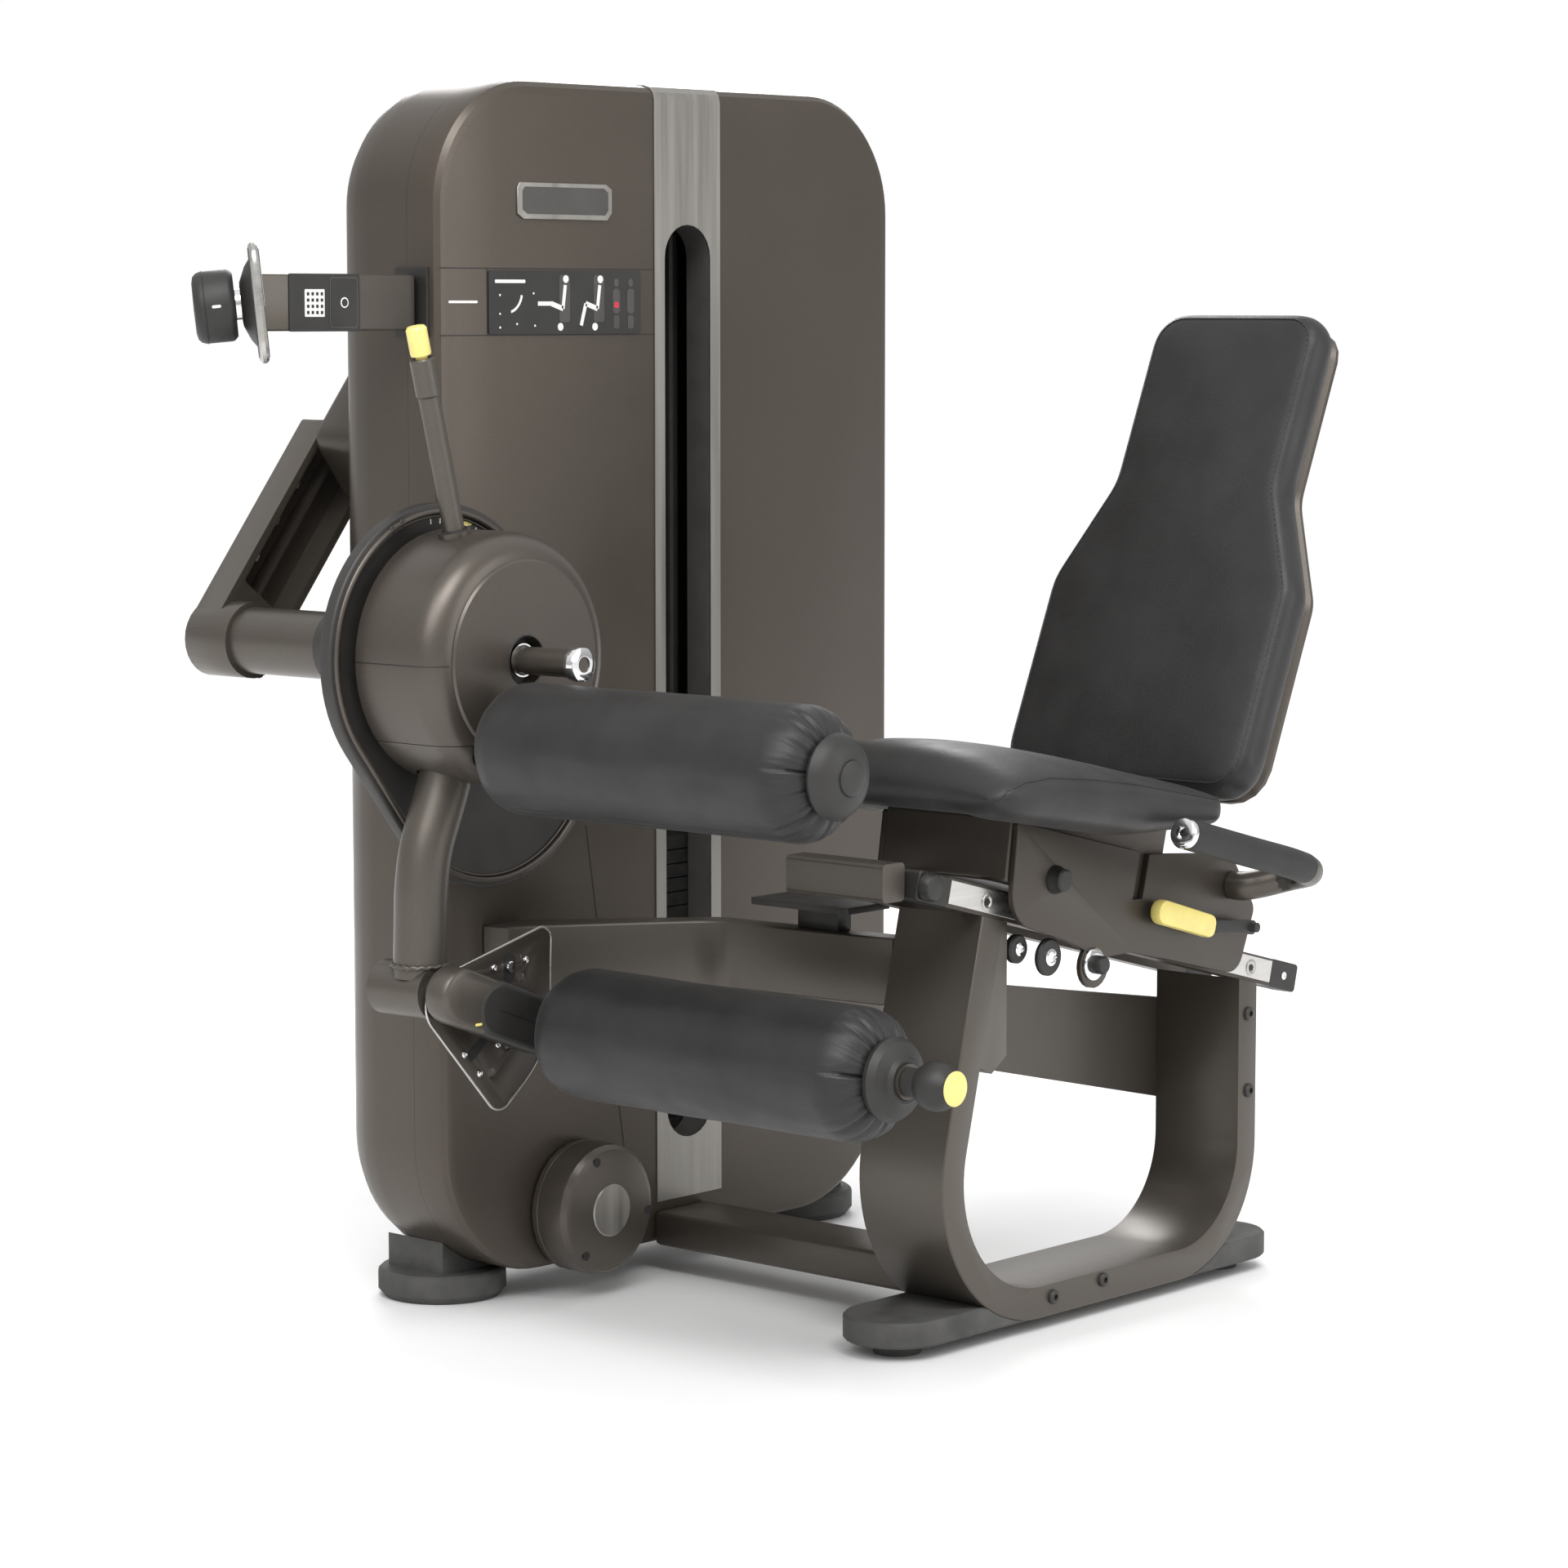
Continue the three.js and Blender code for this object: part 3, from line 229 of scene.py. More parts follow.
def black_leather():
    """Fine-grained synthetic leather: pebbled cells, soft creases and a faint sheen."""
    f = Finish("black_leather", (0.017, 0.0165, 0.0165), 0.44)
    f.set("Specular IOR Level", 0.40)
    f.set("Sheen Weight", 0.05)
    f.set("Sheen Roughness", 0.45)
    f.vary_colour(f.noise(14, 5), 0.82, 1.30)
    f.vary_roughness(f.noise(22, 5), 0.06)
    f.bump(f.cells(620), 0.00035, 0.42)
    f.bump(f.cells(1500), 0.00015, 0.30)
    f.bump(f.noise(28, 4), 0.0012, 0.16)
    return f.material


def foot_rubber():
    f = Finish("foot_rubber", (0.060, 0.059, 0.057), 0.72)
    f.vary_colour(f.noise(30, 5), 0.80, 1.30)
    f.vary_roughness(f.noise(18, 4), 0.08)
    f.bump(f.noise(800, 3), 0.0004, 0.45)
    return f.material


def cast_plates():
    f = Finish("cast_plates", (0.022, 0.021, 0.020), 0.5, 0.4)
    f.vary_colour(f.noise(60, 4), 0.7, 1.5)
    f.bump(f.noise(350, 4), 0.0006, 0.5)
    return f.material


def signal_yellow():
    f = Finish("signal_yellow", (0.86, 0.72, 0.22), 0.38)
    f.set("Coat Weight", 0.2)
    f.vary_colour(f.noise(40, 3), 0.93, 1.05)
    f.bump(f.noise(900, 2), 0.0001, 0.3)
    return f.material


def belt_rubber():
    f = Finish("belt_rubber", (0.015, 0.015, 0.015), 0.6)
    f.bump(f.noise(700, 2, (1, 1, 0.1)), 0.0003, 0.5)
    return f.material


def dark_glass():
    f = Finish("dark_glass", (0.008, 0.008, 0.010), 0.12)
    f.set("Coat Weight", 0.6)
    f.vary_roughness(f.noise(30, 4), 0.04)
    return f.material


def plain_print(name, base):
    """Printed or engraved marks, and dark marks that paint shade into holes, sockets, gaps and grooves: matt
    ink with a slightly uneven film.
    """
    f = Finish(name, base, 0.5)
    f.vary_colour(f.noise(500, 2), 0.94, 1.06)
    return f.material


PAINT = metallic_lacquer("taupe_lacquer", (0.078, 0.064, 0.051), 0.38)
FRAME_PAINT = metallic_lacquer("frame_lacquer", (0.094, 0.082, 0.069), 0.38)
COVER_PAINT = metallic_lacquer("cover_lacquer", (0.088, 0.075, 0.063), 0.36)
# A darker copy of the bronze lacquer: partly the plates' own darker tone, partly painted shade for the
# carriage plates that sit under the seat.
DARK_AND_SHADED_LACQUER = metallic_lacquer("dark_lacquer_and_painted_shade", (0.060, 0.050, 0.041), 0.42)
DARK_PAINT = moulded("dark_paint", (0.032, 0.030, 0.028), 0.45, 2200)
STRIP = brushed("silver_strip", (0.36, 0.345, 0.32), 0.38, (1, 1, 0.03))
RAIL_SILVER = brushed("rail_silver", (0.64, 0.63, 0.61), 0.30, (0.04, 1, 1))
PLATE_STEEL = brushed("plate_steel", (0.50, 0.49, 0.47), 0.30, (0.1, 1, 1))
CHROME = chrome_plate()
PLASTIC = moulded("black_plastic", (0.022, 0.021, 0.020), 0.48)
GREY_PLASTIC = moulded("grey_plastic", (0.060, 0.057, 0.053), 0.46)
LEATHER = black_leather()
RUBBER = foot_rubber()
IRON = cast_plates()
YELLOW = signal_yellow()
BELT = belt_rubber()
GRIP = moulded("grip_rubber", (0.020, 0.0195, 0.019), 0.62, 500)
THREAD = plain_print("leather_thread", (0.035, 0.034, 0.033))
SCREEN = dark_glass()
WHITE_PRINT = plain_print("white_print", (0.75, 0.75, 0.73))
# Dark print for joints and marks, also used as painted shade in holes, sockets, gaps and grooves.
DARK_PRINT_AND_SHADE = plain_print("dark_print_and_painted_shade", (0.012, 0.012, 0.012))
RED_PRINT = plain_print("red_print", (0.55, 0.03, 0.05))


# ---------------------------------------------------------------- building pieces

def smooth(mesh, angle=40):
    mesh.shade_smooth()
    mesh.set_sharp_from_angle(angle=math.radians(angle))


def add_piece(name, mesh, material, body, angle=40):
    mesh.materials.append(material)
    smooth(mesh, angle)
    piece = bpy.data.objects.new(name, mesh)
    bpy.context.scene.collection.objects.link(piece)
    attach(piece, body)
    return piece


def add_bevel(piece, width, segments=2, angle=35):
    bevel = piece.modifiers.new("soft_edges", "BEVEL")
    bevel.width = width * MM
    bevel.segments = segments
    bevel.limit_method = "ANGLE"
    bevel.angle_limit = math.radians(angle)
    return piece


def mesh_from(name, points, faces):
    mesh = bpy.data.meshes.new(name)
    mesh.from_pydata([tuple(p) for p in points], [], faces)
    bm = bmesh.new()
    bm.from_mesh(mesh)
    bmesh.ops.remove_doubles(bm, verts=bm.verts, dist=1e-6)
    bmesh.ops.recalc_face_normals(bm, faces=bm.faces)
    bm.to_mesh(mesh)
    bm.free()
    return mesh


def rings_mesh(name, rings):
    """A closed skin through rings of points, capped at both ends."""
    count = len(rings[0])
    points = [p for ring in rings for p in ring]
    faces = []
    for level in range(len(rings) - 1):
        low = level * count
        for i in range(count):
            j = (i + 1) % count
            faces.append((low + i, low + j, low + count + j, low + count + i))
    faces.append(tuple(range(count)))
    faces.append(tuple(range(len(points) - count, len(points))))
    return mesh_from(name, points, faces)


def square_axes(axis):
    """Two unit vectors square to an axis."""
    helper = AXIS_Z if abs(axis.z) < 0.9 else AXIS_X
    side = axis.cross(helper).normalized()
    return side, axis.cross(side).normalized()


def turned(name, profile, centre, axis, material, body, sides=64, angle=35):
    """A turned piece: profile gives (radius, distance along the axis) pairs in millimetres."""
    side, other = square_axes(axis)
    rings = []
    for radius, along in profile:
        middle = centre + axis * along * MM
        reach = max(radius, 0.01) * MM
        rings.append([
            middle + (side * math.cos(t) + other * math.sin(t)) * reach
            for t in (2 * math.pi * i / sides for i in range(sides))
        ])
    return add_piece(name, rings_mesh(name, rings), material, body, angle)


def full_turn(count):
    """The angles of a circle's points, evenly spaced."""
    return [2 * math.pi * i / count for i in range(count)]


def circle_route(centre, across, up, radius, count=48):
    """Points of a circle about a centre, in the plane of two unit directions."""
    return [centre + (across * math.cos(t) + up * math.sin(t)) * radius * MM for t in full_turn(count)]


def smooth_route(points, steps=8):
    """A centripetal Catmull-Rom curve through the points."""
    ends = [points[0] * 2 - points[1], *points, points[-1] * 2 - points[-2]]
    route = []
    for a, b, c, d in zip(ends, ends[1:], ends[2:], ends[3:]):
        t1 = (b - a).length ** 0.5
        t2 = t1 + (c - b).length ** 0.5
        t3 = t2 + (d - c).length ** 0.5
        for step in range(steps):
            t = t1 + (t2 - t1) * step / steps
            a1 = a * ((t1 - t) / t1) + b * (t / t1)
            a2 = b * ((t2 - t) / (t2 - t1)) + c * ((t - t1) / (t2 - t1))
            a3 = c * ((t3 - t) / (t3 - t2)) + d * ((t - t2) / (t3 - t2))
            b1 = a1 * ((t2 - t) / t2) + a2 * (t / t2)
            b2 = a2 * ((t3 - t) / (t3 - t1)) + a3 * ((t - t1) / (t3 - t1))
            route.append(b1 * ((t2 - t) / (t2 - t1)) + b2 * ((t - t1) / (t2 - t1)))
    route.append(points[-1])
    return route


def swept(name, route, radius, material, body, sides=32, closed=False):
    """A round bar along a route of points."""
    rings = []
    side = None
    count = len(route)
    for i, point in enumerate(route):
        before = route[i - 1] if (i or closed) else route[0]
        after = route[(i + 1) % count] if (i < count - 1 or closed) else route[-1]
        forward = (after - before).normalized()
        if side is None:
            side = square_axes(forward)[0]
        side = (side - forward * side.dot(forward)).normalized()
        other = forward.cross(side)
        reach = radius * MM
        rings.append([
            point + (side * math.cos(t) + other * math.sin(t)) * reach
            for t in full_turn(sides)
        ])
    if not closed:
        return add_piece(name, rings_mesh(name, rings), material, body)
    points = [p for ring in rings for p in ring]
    faces = []
    for level in range(count):
        low = level * sides
        high = ((level + 1) % count) * sides
        for k in range(sides):
            j = (k + 1) % sides
            faces.append((low + k, low + j, high + j, high + k))
    return add_piece(name, mesh_from(name, points, faces), material, body)


def off_point(centre, reach, degrees):
    """The place at a distance and an angle in degrees from a centre."""
    angle = math.radians(degrees)
    return centre[0] + reach * math.cos(angle), centre[1] + reach * math.sin(angle)


def arc(centre, radius, start, end, steps):
    """Points of an arc in degrees about (x, y)."""
    return [
        (centre[0] + radius * math.cos(t), centre[1] + radius * math.sin(t))
        for t in (math.radians(start + (end - start) * i / steps) for i in range(steps + 1))
    ]


def rounded_rectangle(low_x, high_x, low_y, high_y, radius, steps=6):
    return [
        *arc((high_x - radius, high_y - radius), radius, 0, 90, steps),
        *arc((low_x + radius, high_y - radius), radius, 90, 180, steps),
        *arc((low_x + radius, low_y + radius), radius, 180, 270, steps),
        *arc((high_x - radius, low_y + radius), radius, 270, 360, steps),
    ]


def slab(name, outline, near_y, far_y, material, body, bevel=0.0):
    """A plate whose outline lies in X and Z."""
    rings = [[at(x, y, z) for x, z in outline] for y in (near_y, far_y)]
    piece = add_piece(name, rings_mesh(name, rings), material, body)
    return add_bevel(piece, bevel, 3) if bevel else piece


def rail_slab(name, outline, near_y, far_y, material, body, bevel=0.0):
    return slab(name, [on_rail(*p) for p in outline], near_y, far_y, material, body, bevel)


def screw(name, x, y, z, radius, body, material=CHROME, axis=-AXIS_Y):
    """A domed cap screw with a round socket, its head standing off the surface along the axis."""
    profile = [(radius, 0), (radius, radius * 0.35)]
    profile += [
        (radius * math.cos(t), radius * (0.35 + 0.3 * math.sin(t)))
        for t in (math.radians(a) for a in (20, 45, 62))
    ]
    profile += [(radius * 0.42, radius * 0.62), (radius * 0.40, radius * 0.2), (0, radius * 0.2)]
    return turned(name, profile, at(x, y, z), axis, material, body, 24)


# ---------------------------------------------------------------- CAD nodes that stay

CREASE_ANGLE = math.radians(28)


def soften_node(node, bevel_width):
    """Joins a node's faces, rounds its sharp edges if asked, and shades its curves as smooth."""
    if "custom_normal" in node.data.attributes:
        node.data.attributes.remove(node.data.attributes["custom_normal"])
    node.data.shade_smooth()
    weld = node.modifiers.new("joined_faces", "WELD")
    weld.merge_threshold = 0.01 * MM
    if bevel_width:
        add_bevel(node, bevel_width)
    creases = node.modifiers.new("creases", "EDGE_SPLIT")
    creases.split_angle = CREASE_ANGLE


def finish_cad_nodes():
    """Gives every carried-over node its finish, soft edges and smoothing."""
    finishes = {
        PAINT: ["tower_front_shell", "tower_rear_shell"],
        COVER_PAINT: [
            "hub_drum", "hub_lower_cover", "hub_front_cover", "pulley_cover", "back_shell", "seat_base",
        ],
        # Darker lacquer, partly painted shade: the carriage plates under the seat are darkened as if in its
        # shade.
        DARK_AND_SHADED_LACQUER: [
            "carriage_plate_near", "carriage_plate_far", "index_plate", "rail_near", "rail_far",
            "counterweight_block",
        ],
        FRAME_PAINT: [
            "hub_handle", "selector_rod", "lever_tube", "counterweight_shaft", "counterweight_arm",
            "tibia_tube", "ankle_crank", "ankle_tube", "curved_beam", "base_beam", "seat_frame",
            "cross_panel", "front_cross_tube", "display_arm",
        ],
        STRIP: ["trim_strip"],
        DARK_PAINT: [
            "cam_plate", "bearing_housing", "support_bracket", "back_support", "stack_frame",
        ],
        PLASTIC: [
            "instruction_placard", "display_socket", "display_knob", "top_pulley",
            "tibia_cap", "ankle_flange", "ankle_knob", "handle_near", "handle_far", "release_lever",
        ],
        PLATE_STEEL: ["display_bezel"],
        RUBBER: ["tower_foot_left", "tower_foot_right", "seat_foot_front", "seat_foot_rear"],
        IRON: ["resting_plates", "lifted_plates"],
        YELLOW: ["selector_button", "selector_pin", "release_paddle"],
        BELT: ["stack_belt"],
        LEATHER: ["tibia_pad", "ankle_pad", "seat_cushion", "back_cushion"],
    }
    sharp_edged = {
        "cam_plate": 1.2, "index_plate": 0.8, "counterweight_arm": 1.5, "curved_beam": 1.5,
        "base_beam": 1.5, "seat_frame": 1.2, "cross_panel": 2.0, "carriage_plate_near": 1.0,
        "carriage_plate_far": 1.0, "seat_base": 1.5, "support_bracket": 1.0, "display_arm": 1.5,
        "seat_foot_front": 1.5, "seat_foot_rear": 1.5, "tower_foot_left": 1.2,
        "tower_foot_right": 1.2, "ankle_crank": 1.5, "counterweight_block": 2.5,
        "hub_lower_cover": 1.0, "release_lever": 0.8,
    }
    for material, names in finishes.items():
        for name in names:
            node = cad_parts[name]
            node.data.materials.clear()
            node.data.materials.append(material)
            soften_node(node, sharp_edged.get(name))


# ---------------------------------------------------------------- padded leather

CLOTH_FRAMES = 20
SKIN_VOXEL = 5


def evaluated_mesh(piece):
    graph = bpy.context.evaluated_depsgraph_get()
    return bpy.data.meshes.new_from_object(piece.evaluated_get(graph))


def even_skin(piece):
    """Rebuilds the piece as an even skin of small faces and softens its edges."""
    remesh = piece.modifiers.new("even_skin", "REMESH")
    remesh.mode = "VOXEL"
    remesh.voxel_size = SKIN_VOXEL * MM
    relax = piece.modifiers.new("relax", "SMOOTH")
    relax.factor = 0.5
    relax.iterations = 6
    mesh = evaluated_mesh(piece)
    piece.modifiers.clear()
    piece.data = mesh


def swell(piece, held, most):
    """Fills the skin with air as cloth, held at some vertices, limits each move and settles the creases."""
    mesh = piece.data
    start = [v.co.copy() for v in mesh.vertices]
    group = piece.vertex_groups.new(name="held")
    group.add([i for i, point in enumerate(start) if held(point)], 1.0, "REPLACE")
    cloth = piece.modifiers.new("filling", "CLOTH")
    cloth.settings.use_pressure = True
    cloth.settings.uniform_pressure_force = 4
    cloth.settings.effector_weights.gravity = 0
    cloth.settings.vertex_group_mass = group.name
    cloth.point_cache.frame_end = CLOTH_FRAMES
    for frame_number in range(1, CLOTH_FRAMES + 1):
        bpy.context.scene.frame_set(frame_number)
    swollen = evaluated_mesh(piece)
    piece.modifiers.clear()
    piece.vertex_groups.clear()
    for vertex, after, before in zip(mesh.vertices, swollen.vertices, start):
        move = after.co - before
        if move.length > most * MM:
            move *= most * MM / move.length
        vertex.co = before + move
    bpy.context.scene.frame_set(1)
    relax = piece.modifiers.new("settle", "SMOOTH")
    relax.factor = 0.5
    relax.iterations = 8
    piece.data = evaluated_mesh(piece)
    piece.modifiers.clear()


def padded_piece(name, rings, held, most, body):
    """A leather cushion: a lofted form, evened out, swollen between its held lines and subdivided."""
    piece = bpy.data.objects.new(name, rings_mesh(name, rings))
    bpy.context.scene.collection.objects.link(piece)
    even_skin(piece)
    swell(piece, held, most)
    mesh = piece.data
    mesh.materials.clear()
    mesh.materials.append(LEATHER)
    mesh.shade_smooth()
    finer = piece.modifiers.new("finer", "SUBSURF")
    finer.levels = 1
    finer.render_levels = 1
    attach(piece, body)
    return piece


def dense(points, gap):
    """The same route of points with no step longer than the gap, in metres."""
    route = [points[0]]
    for start, end in zip(points, points[1:]):
        count = max(1, math.ceil((end - start).length / gap))
        route += [start.lerp(end, i / count) for i in range(1, count + 1)]
    return route


def near_route(route, reach):
    """A test that tells whether a point lies within reach of the route, in millimetres."""
    places = dense(route, reach * MM / 2)
    return lambda point: any((point - place).length < reach * MM for place in places)


def stitch_line(name, piece, route, direction, body, closed=False):
    """Sews a line onto a padded piece: a lapped ridge, and stitches that follow its surface."""
    tree = BVHTree.FromObject(piece, bpy.context.evaluated_depsgraph_get())
    placed = []
    for point in dense(route, 0.004):
        hit = tree.ray_cast(point - direction * 0.2, direction)[0]
        if hit:
            placed.append(hit)
    ridge = [p - direction * 0.0002 for p in placed]
    swept(name + "_ridge", ridge, 1.1, LEATHER, body, 8, closed)
    points = []
    faces = []
    for start, end in zip(placed[::2], placed[1::2]):
        along = (end - start) * 0.5
        middle = (start + end) * 0.5 - direction * 0.0013
        side = along.cross(direction).normalized() * 0.0005
        lift = direction * -0.0004
        low = len(points)
        points += [
            middle + along * u + side * v + lift * w
            for u in (-0.9, 0.9) for v, w in ((1, 0), (0, 1), (-1, 0), (0, -1))
        ]
        faces += [
            *((low + i, low + (i + 1) % 4, low + 4 + (i + 1) % 4, low + 4 + i) for i in range(4)),
            (low, low + 1, low + 2, low + 3),
            (low + 7, low + 6, low + 5, low + 4),
        ]
    mesh = bpy.data.meshes.new(name)
    mesh.from_pydata([tuple(p) for p in points], [], faces)
    add_piece(name, mesh, THREAD, body)


def between(table, x):
    """Reads a smooth value from a table of (x, value) pairs."""
    for (x1, v1), (x2, v2) in zip(table, table[1:]):
        if x <= x2:
            return v1 + (v2 - v1) * max(0.0, (x - x1) / (x2 - x1))
    return table[-1][1]


# ---------------------------------------------------------------- seat cushion

SEAT_FRONT_X = 225
SEAT_REAR_X = 642
SEAT_HALF_WIDTH = 187
SEAT_CREST = [
    (225, 684), (245, 693), (270, 699), (300, 701), (340, 698), (394, 689), (460, 675), (548, 653),
    (642, 630),
]
SEAT_UNDERSIDE = [(225, 628), (440, 610.5), (642, 592)]
SEAT_SKIRT = [(225, 627), (482, 582), (642, 581)]
SKIRT_INNER = 106
SKIRT_OUTER = 118
SEAT_CROWN = [(225, 20), (300, 31), (400, 28), (473, 20), (642, 7)]


def end_rounding(distance, reach, power=2.4):
    return (1 - (1 - min(distance / reach, 1.0)) ** power) ** (1 / power)


def power_curve(value, power):
    return math.copysign(abs(value) ** (2 / power), value)


def seat_section(x, steps=96):
    """One ring across the seat: skirts hang beside a flat underside, and the top is crowned."""
    from_ends = min(x - SEAT_FRONT_X, (SEAT_REAR_X - x) * 3)
    height = max(end_rounding(from_ends, 46), 0.02)
    width = SEAT_HALF_WIDTH * (0.82 + 0.18 * end_rounding(from_ends, 60))
    top = between(SEAT_CREST, x)
    base = between(SEAT_UNDERSIDE, x)
    skirt = between(SEAT_SKIRT, x)
    crown = between(SEAT_CROWN, x)
    middle = base + (top - crown - base) * 0.55
    ring = []
    for i in range(steps):
        angle = 2 * math.pi * i / steps
        across = power_curve(math.cos(angle), 5)
        up = power_curve(math.sin(angle), 5)
        if up > 0:
            rise = up * (top - crown - middle) + crown * up * (1 - abs(across) ** 2.3)
        else:
            drop = (width * abs(across) - SKIRT_INNER) / (SKIRT_OUTER - SKIRT_INNER)
            bottom = base + (skirt - base) * min(max(drop, 0.0), 1.0)
            rise = up * (middle - bottom)
        ring.append(at(x, SEAT_Y + width * across, middle + rise * height))
    return ring


SEAT_SEAM = [(226, 636), (229, 648), (242, 660), (265, 667), (316, 668), (400, 659), (473, 648), (636, 616)]


def add_seat():
    stations = [SEAT_FRONT_X + 0.05]
    stations += [SEAT_FRONT_X + d for d in (1, 3, 6, 10, 15, 22, 30, 40, 52, 66)]
    stations += [310 + i * 22 for i in range(14)]
    stations += [SEAT_REAR_X - d for d in (28, 18, 11, 6, 3, 1, 0.05)]
    seams = {}
    for side, word in ((-1, "near"), (1, "far")):
        y = SEAT_Y + side * SEAT_HALF_WIDTH
        seams[word] = (side, [at(x, y, z) for x, z in SEAT_SEAM])

    def held(point):
        x = (point.x - ORIGIN.x) / MM
        return point.z < at(x, SEAT_Y, between(SEAT_SEAM, x)).z

    seat = padded_piece("seat_leather", [seat_section(x) for x in stations], held, 10, "carriage")
    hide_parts("seat_cushion")
    for word, (side, route) in seams.items():
        stitch_line("seat_seam_" + word, seat, route, AXIS_Y * -side, "carriage")


# ---------------------------------------------------------------- backrest

BACK_LENGTH = 624
BACK_SEAM_INSET = 13
BACK_RINGS = [(7, 53.6), (2, 46), (0, 34), (1, 22), (6, 11), (14, 6), (34, 3), (66, 1.6), (104, 0.8)]


def rounded_polygon(corners, steps=8):
    """A closed outline with rounded corners, each corner given as (x, y, radius)."""
    outline = []
    count = len(corners)
    for i, (x, y, radius) in enumerate(corners):
        here = Vector((x, y))
        back = (Vector(corners[i - 1][:2]) - here).normalized()
        ahead = (Vector(corners[(i + 1) % count][:2]) - here).normalized()
        half = back.angle(ahead) / 2
        start = here + back * radius / math.tan(half)
        end = here + ahead * radius / math.tan(half)
        centre = here + (back + ahead).normalized() * radius / math.sin(half)
        outline += [
            tuple(centre + (start - centre).slerp(end - centre, k / steps) * radius)
            for k in range(steps + 1)
        ]
    return outline


def back_outline(inset, points=220):
    wide = 185 - inset
    slim = 128 - inset
    high = BACK_LENGTH - inset
    round_by = max(46 - inset * 0.6, 8)
    corners = [
        (-wide, inset, round_by), (wide, inset, round_by), (wide, 262, 60), (slim, 392, 70),
        (slim, high, round_by - 4), (-slim, high, round_by - 4), (-slim, 392, 70), (-wide, 262, 60),
    ]
    outline = [Vector(p) for p in rounded_polygon(corners)]
    outline.append(outline[0])
    lengths = [0.0]
    for a, b in zip(outline, outline[1:]):
        lengths.append(lengths[-1] + (b - a).length)
    even = []
    index = 0
    for k in range(points):
        target = lengths[-1] * k / points
        while lengths[index + 1] < target:
            index += 1
        share = (target - lengths[index]) / (lengths[index + 1] - lengths[index])
        even.append(outline[index].lerp(outline[index + 1], share))
    return even


def add_backrest():
    rings = [[on_back(x, y, depth) for x, y in back_outline(inset)] for inset, depth in BACK_RINGS]
    seam = [on_back(x, y, 8) for x, y in back_outline(BACK_SEAM_INSET, 160)]
    on_seam = near_route([*seam, seam[0]], 6)
    foot = on_back(0, 0, 0)
    behind = (on_back(0, 0, 1) - foot).normalized()

    def held(point):
        depth = (point - foot).dot(behind)
        return depth > 0.044 or (depth < 0.016 and on_seam(point))

    back = padded_piece("back_leather", rings, held, 22, "carriage")
    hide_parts("back_cushion")
    stitch_line("back_seam", back, seam, behind, "carriage", True)


# ---------------------------------------------------------------- rollers

PUCKERS = 17
SHOULDER = 46


def pucker_depth(angle):
    """How far the gathered leather dips at an angle: narrow creases at uneven spacing."""
    total = 0.0
    for i in range(PUCKERS):
        place = 2 * math.pi * (i + 0.32 * math.sin(5.1 * i)) / PUCKERS
        apart = math.remainder(angle - place, 2 * math.pi)
        width = 0.055 + 0.02 * math.sin(3.7 * i)
        total += (0.7 + 0.3 * math.cos(2.3 * i)) * math.exp(-((apart / width) ** 2))
    return total


def roller_profile():
    """(radius, distance from the front end, normal outwards, normal forwards, gathering) along the pad."""
    length = ROLLER_BACK_Y - ROLLER_FRONT_Y
    profile = []
    for i in range(27):
        angle = math.pi / 2 * i / 26
        radius = ROLLER_RADIUS - SHOULDER + SHOULDER * math.sin(angle)
        profile.append((radius, SHOULDER * (1 - math.cos(angle)), math.sin(angle), math.cos(angle),
                        math.sin(math.pi / 2 * (1 - i / 26)) ** 0.8))
    for i in range(1, 60):
        profile.append((ROLLER_RADIUS, SHOULDER + (length - SHOULDER - 40) * i / 60, 1, 0,
                        0.16 * math.exp(-i / 2.5)))
    for i in range(15):
        angle = math.pi / 2 * i / 14
        profile.append((ROLLER_RADIUS - 40 + 40 * math.cos(angle), length - 40 + 40 * math.sin(angle),
                        math.cos(angle), -math.sin(angle), 0.0))
    return profile


def add_roller(name, node, x, z, body, seam_angle):
    """A foam roller in leather, gathered under its end cap at the front."""
    sides = 240
    rings = []
    for radius, along, out, forward, gather in roller_profile():
        ring = []
        for i in range(sides):
            angle = 2 * math.pi * i / sides
            place = Vector((math.cos(angle) * 3.1, math.sin(angle) * 3.1, along * 0.012 + z))
            sink = 4.6 * gather * pucker_depth(angle) - 1.0 * noise.noise(place)
            sink += 1.5 * gather * noise.noise(place * 3)
            apart = math.remainder(angle - seam_angle, 2 * math.pi) * ROLLER_RADIUS
            sink += 0.9 * math.exp(-((apart / 2.2) ** 2)) * out
            reach = radius - 0.6 - sink * out
            y = ROLLER_FRONT_Y + along + sink * forward
            ring.append(at(x + reach * math.cos(angle), y, z + reach * math.sin(angle)))
        rings.append(ring)
    pad = add_piece(name, rings_mesh(name, rings), LEATHER, body, 80)
    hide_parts(node)


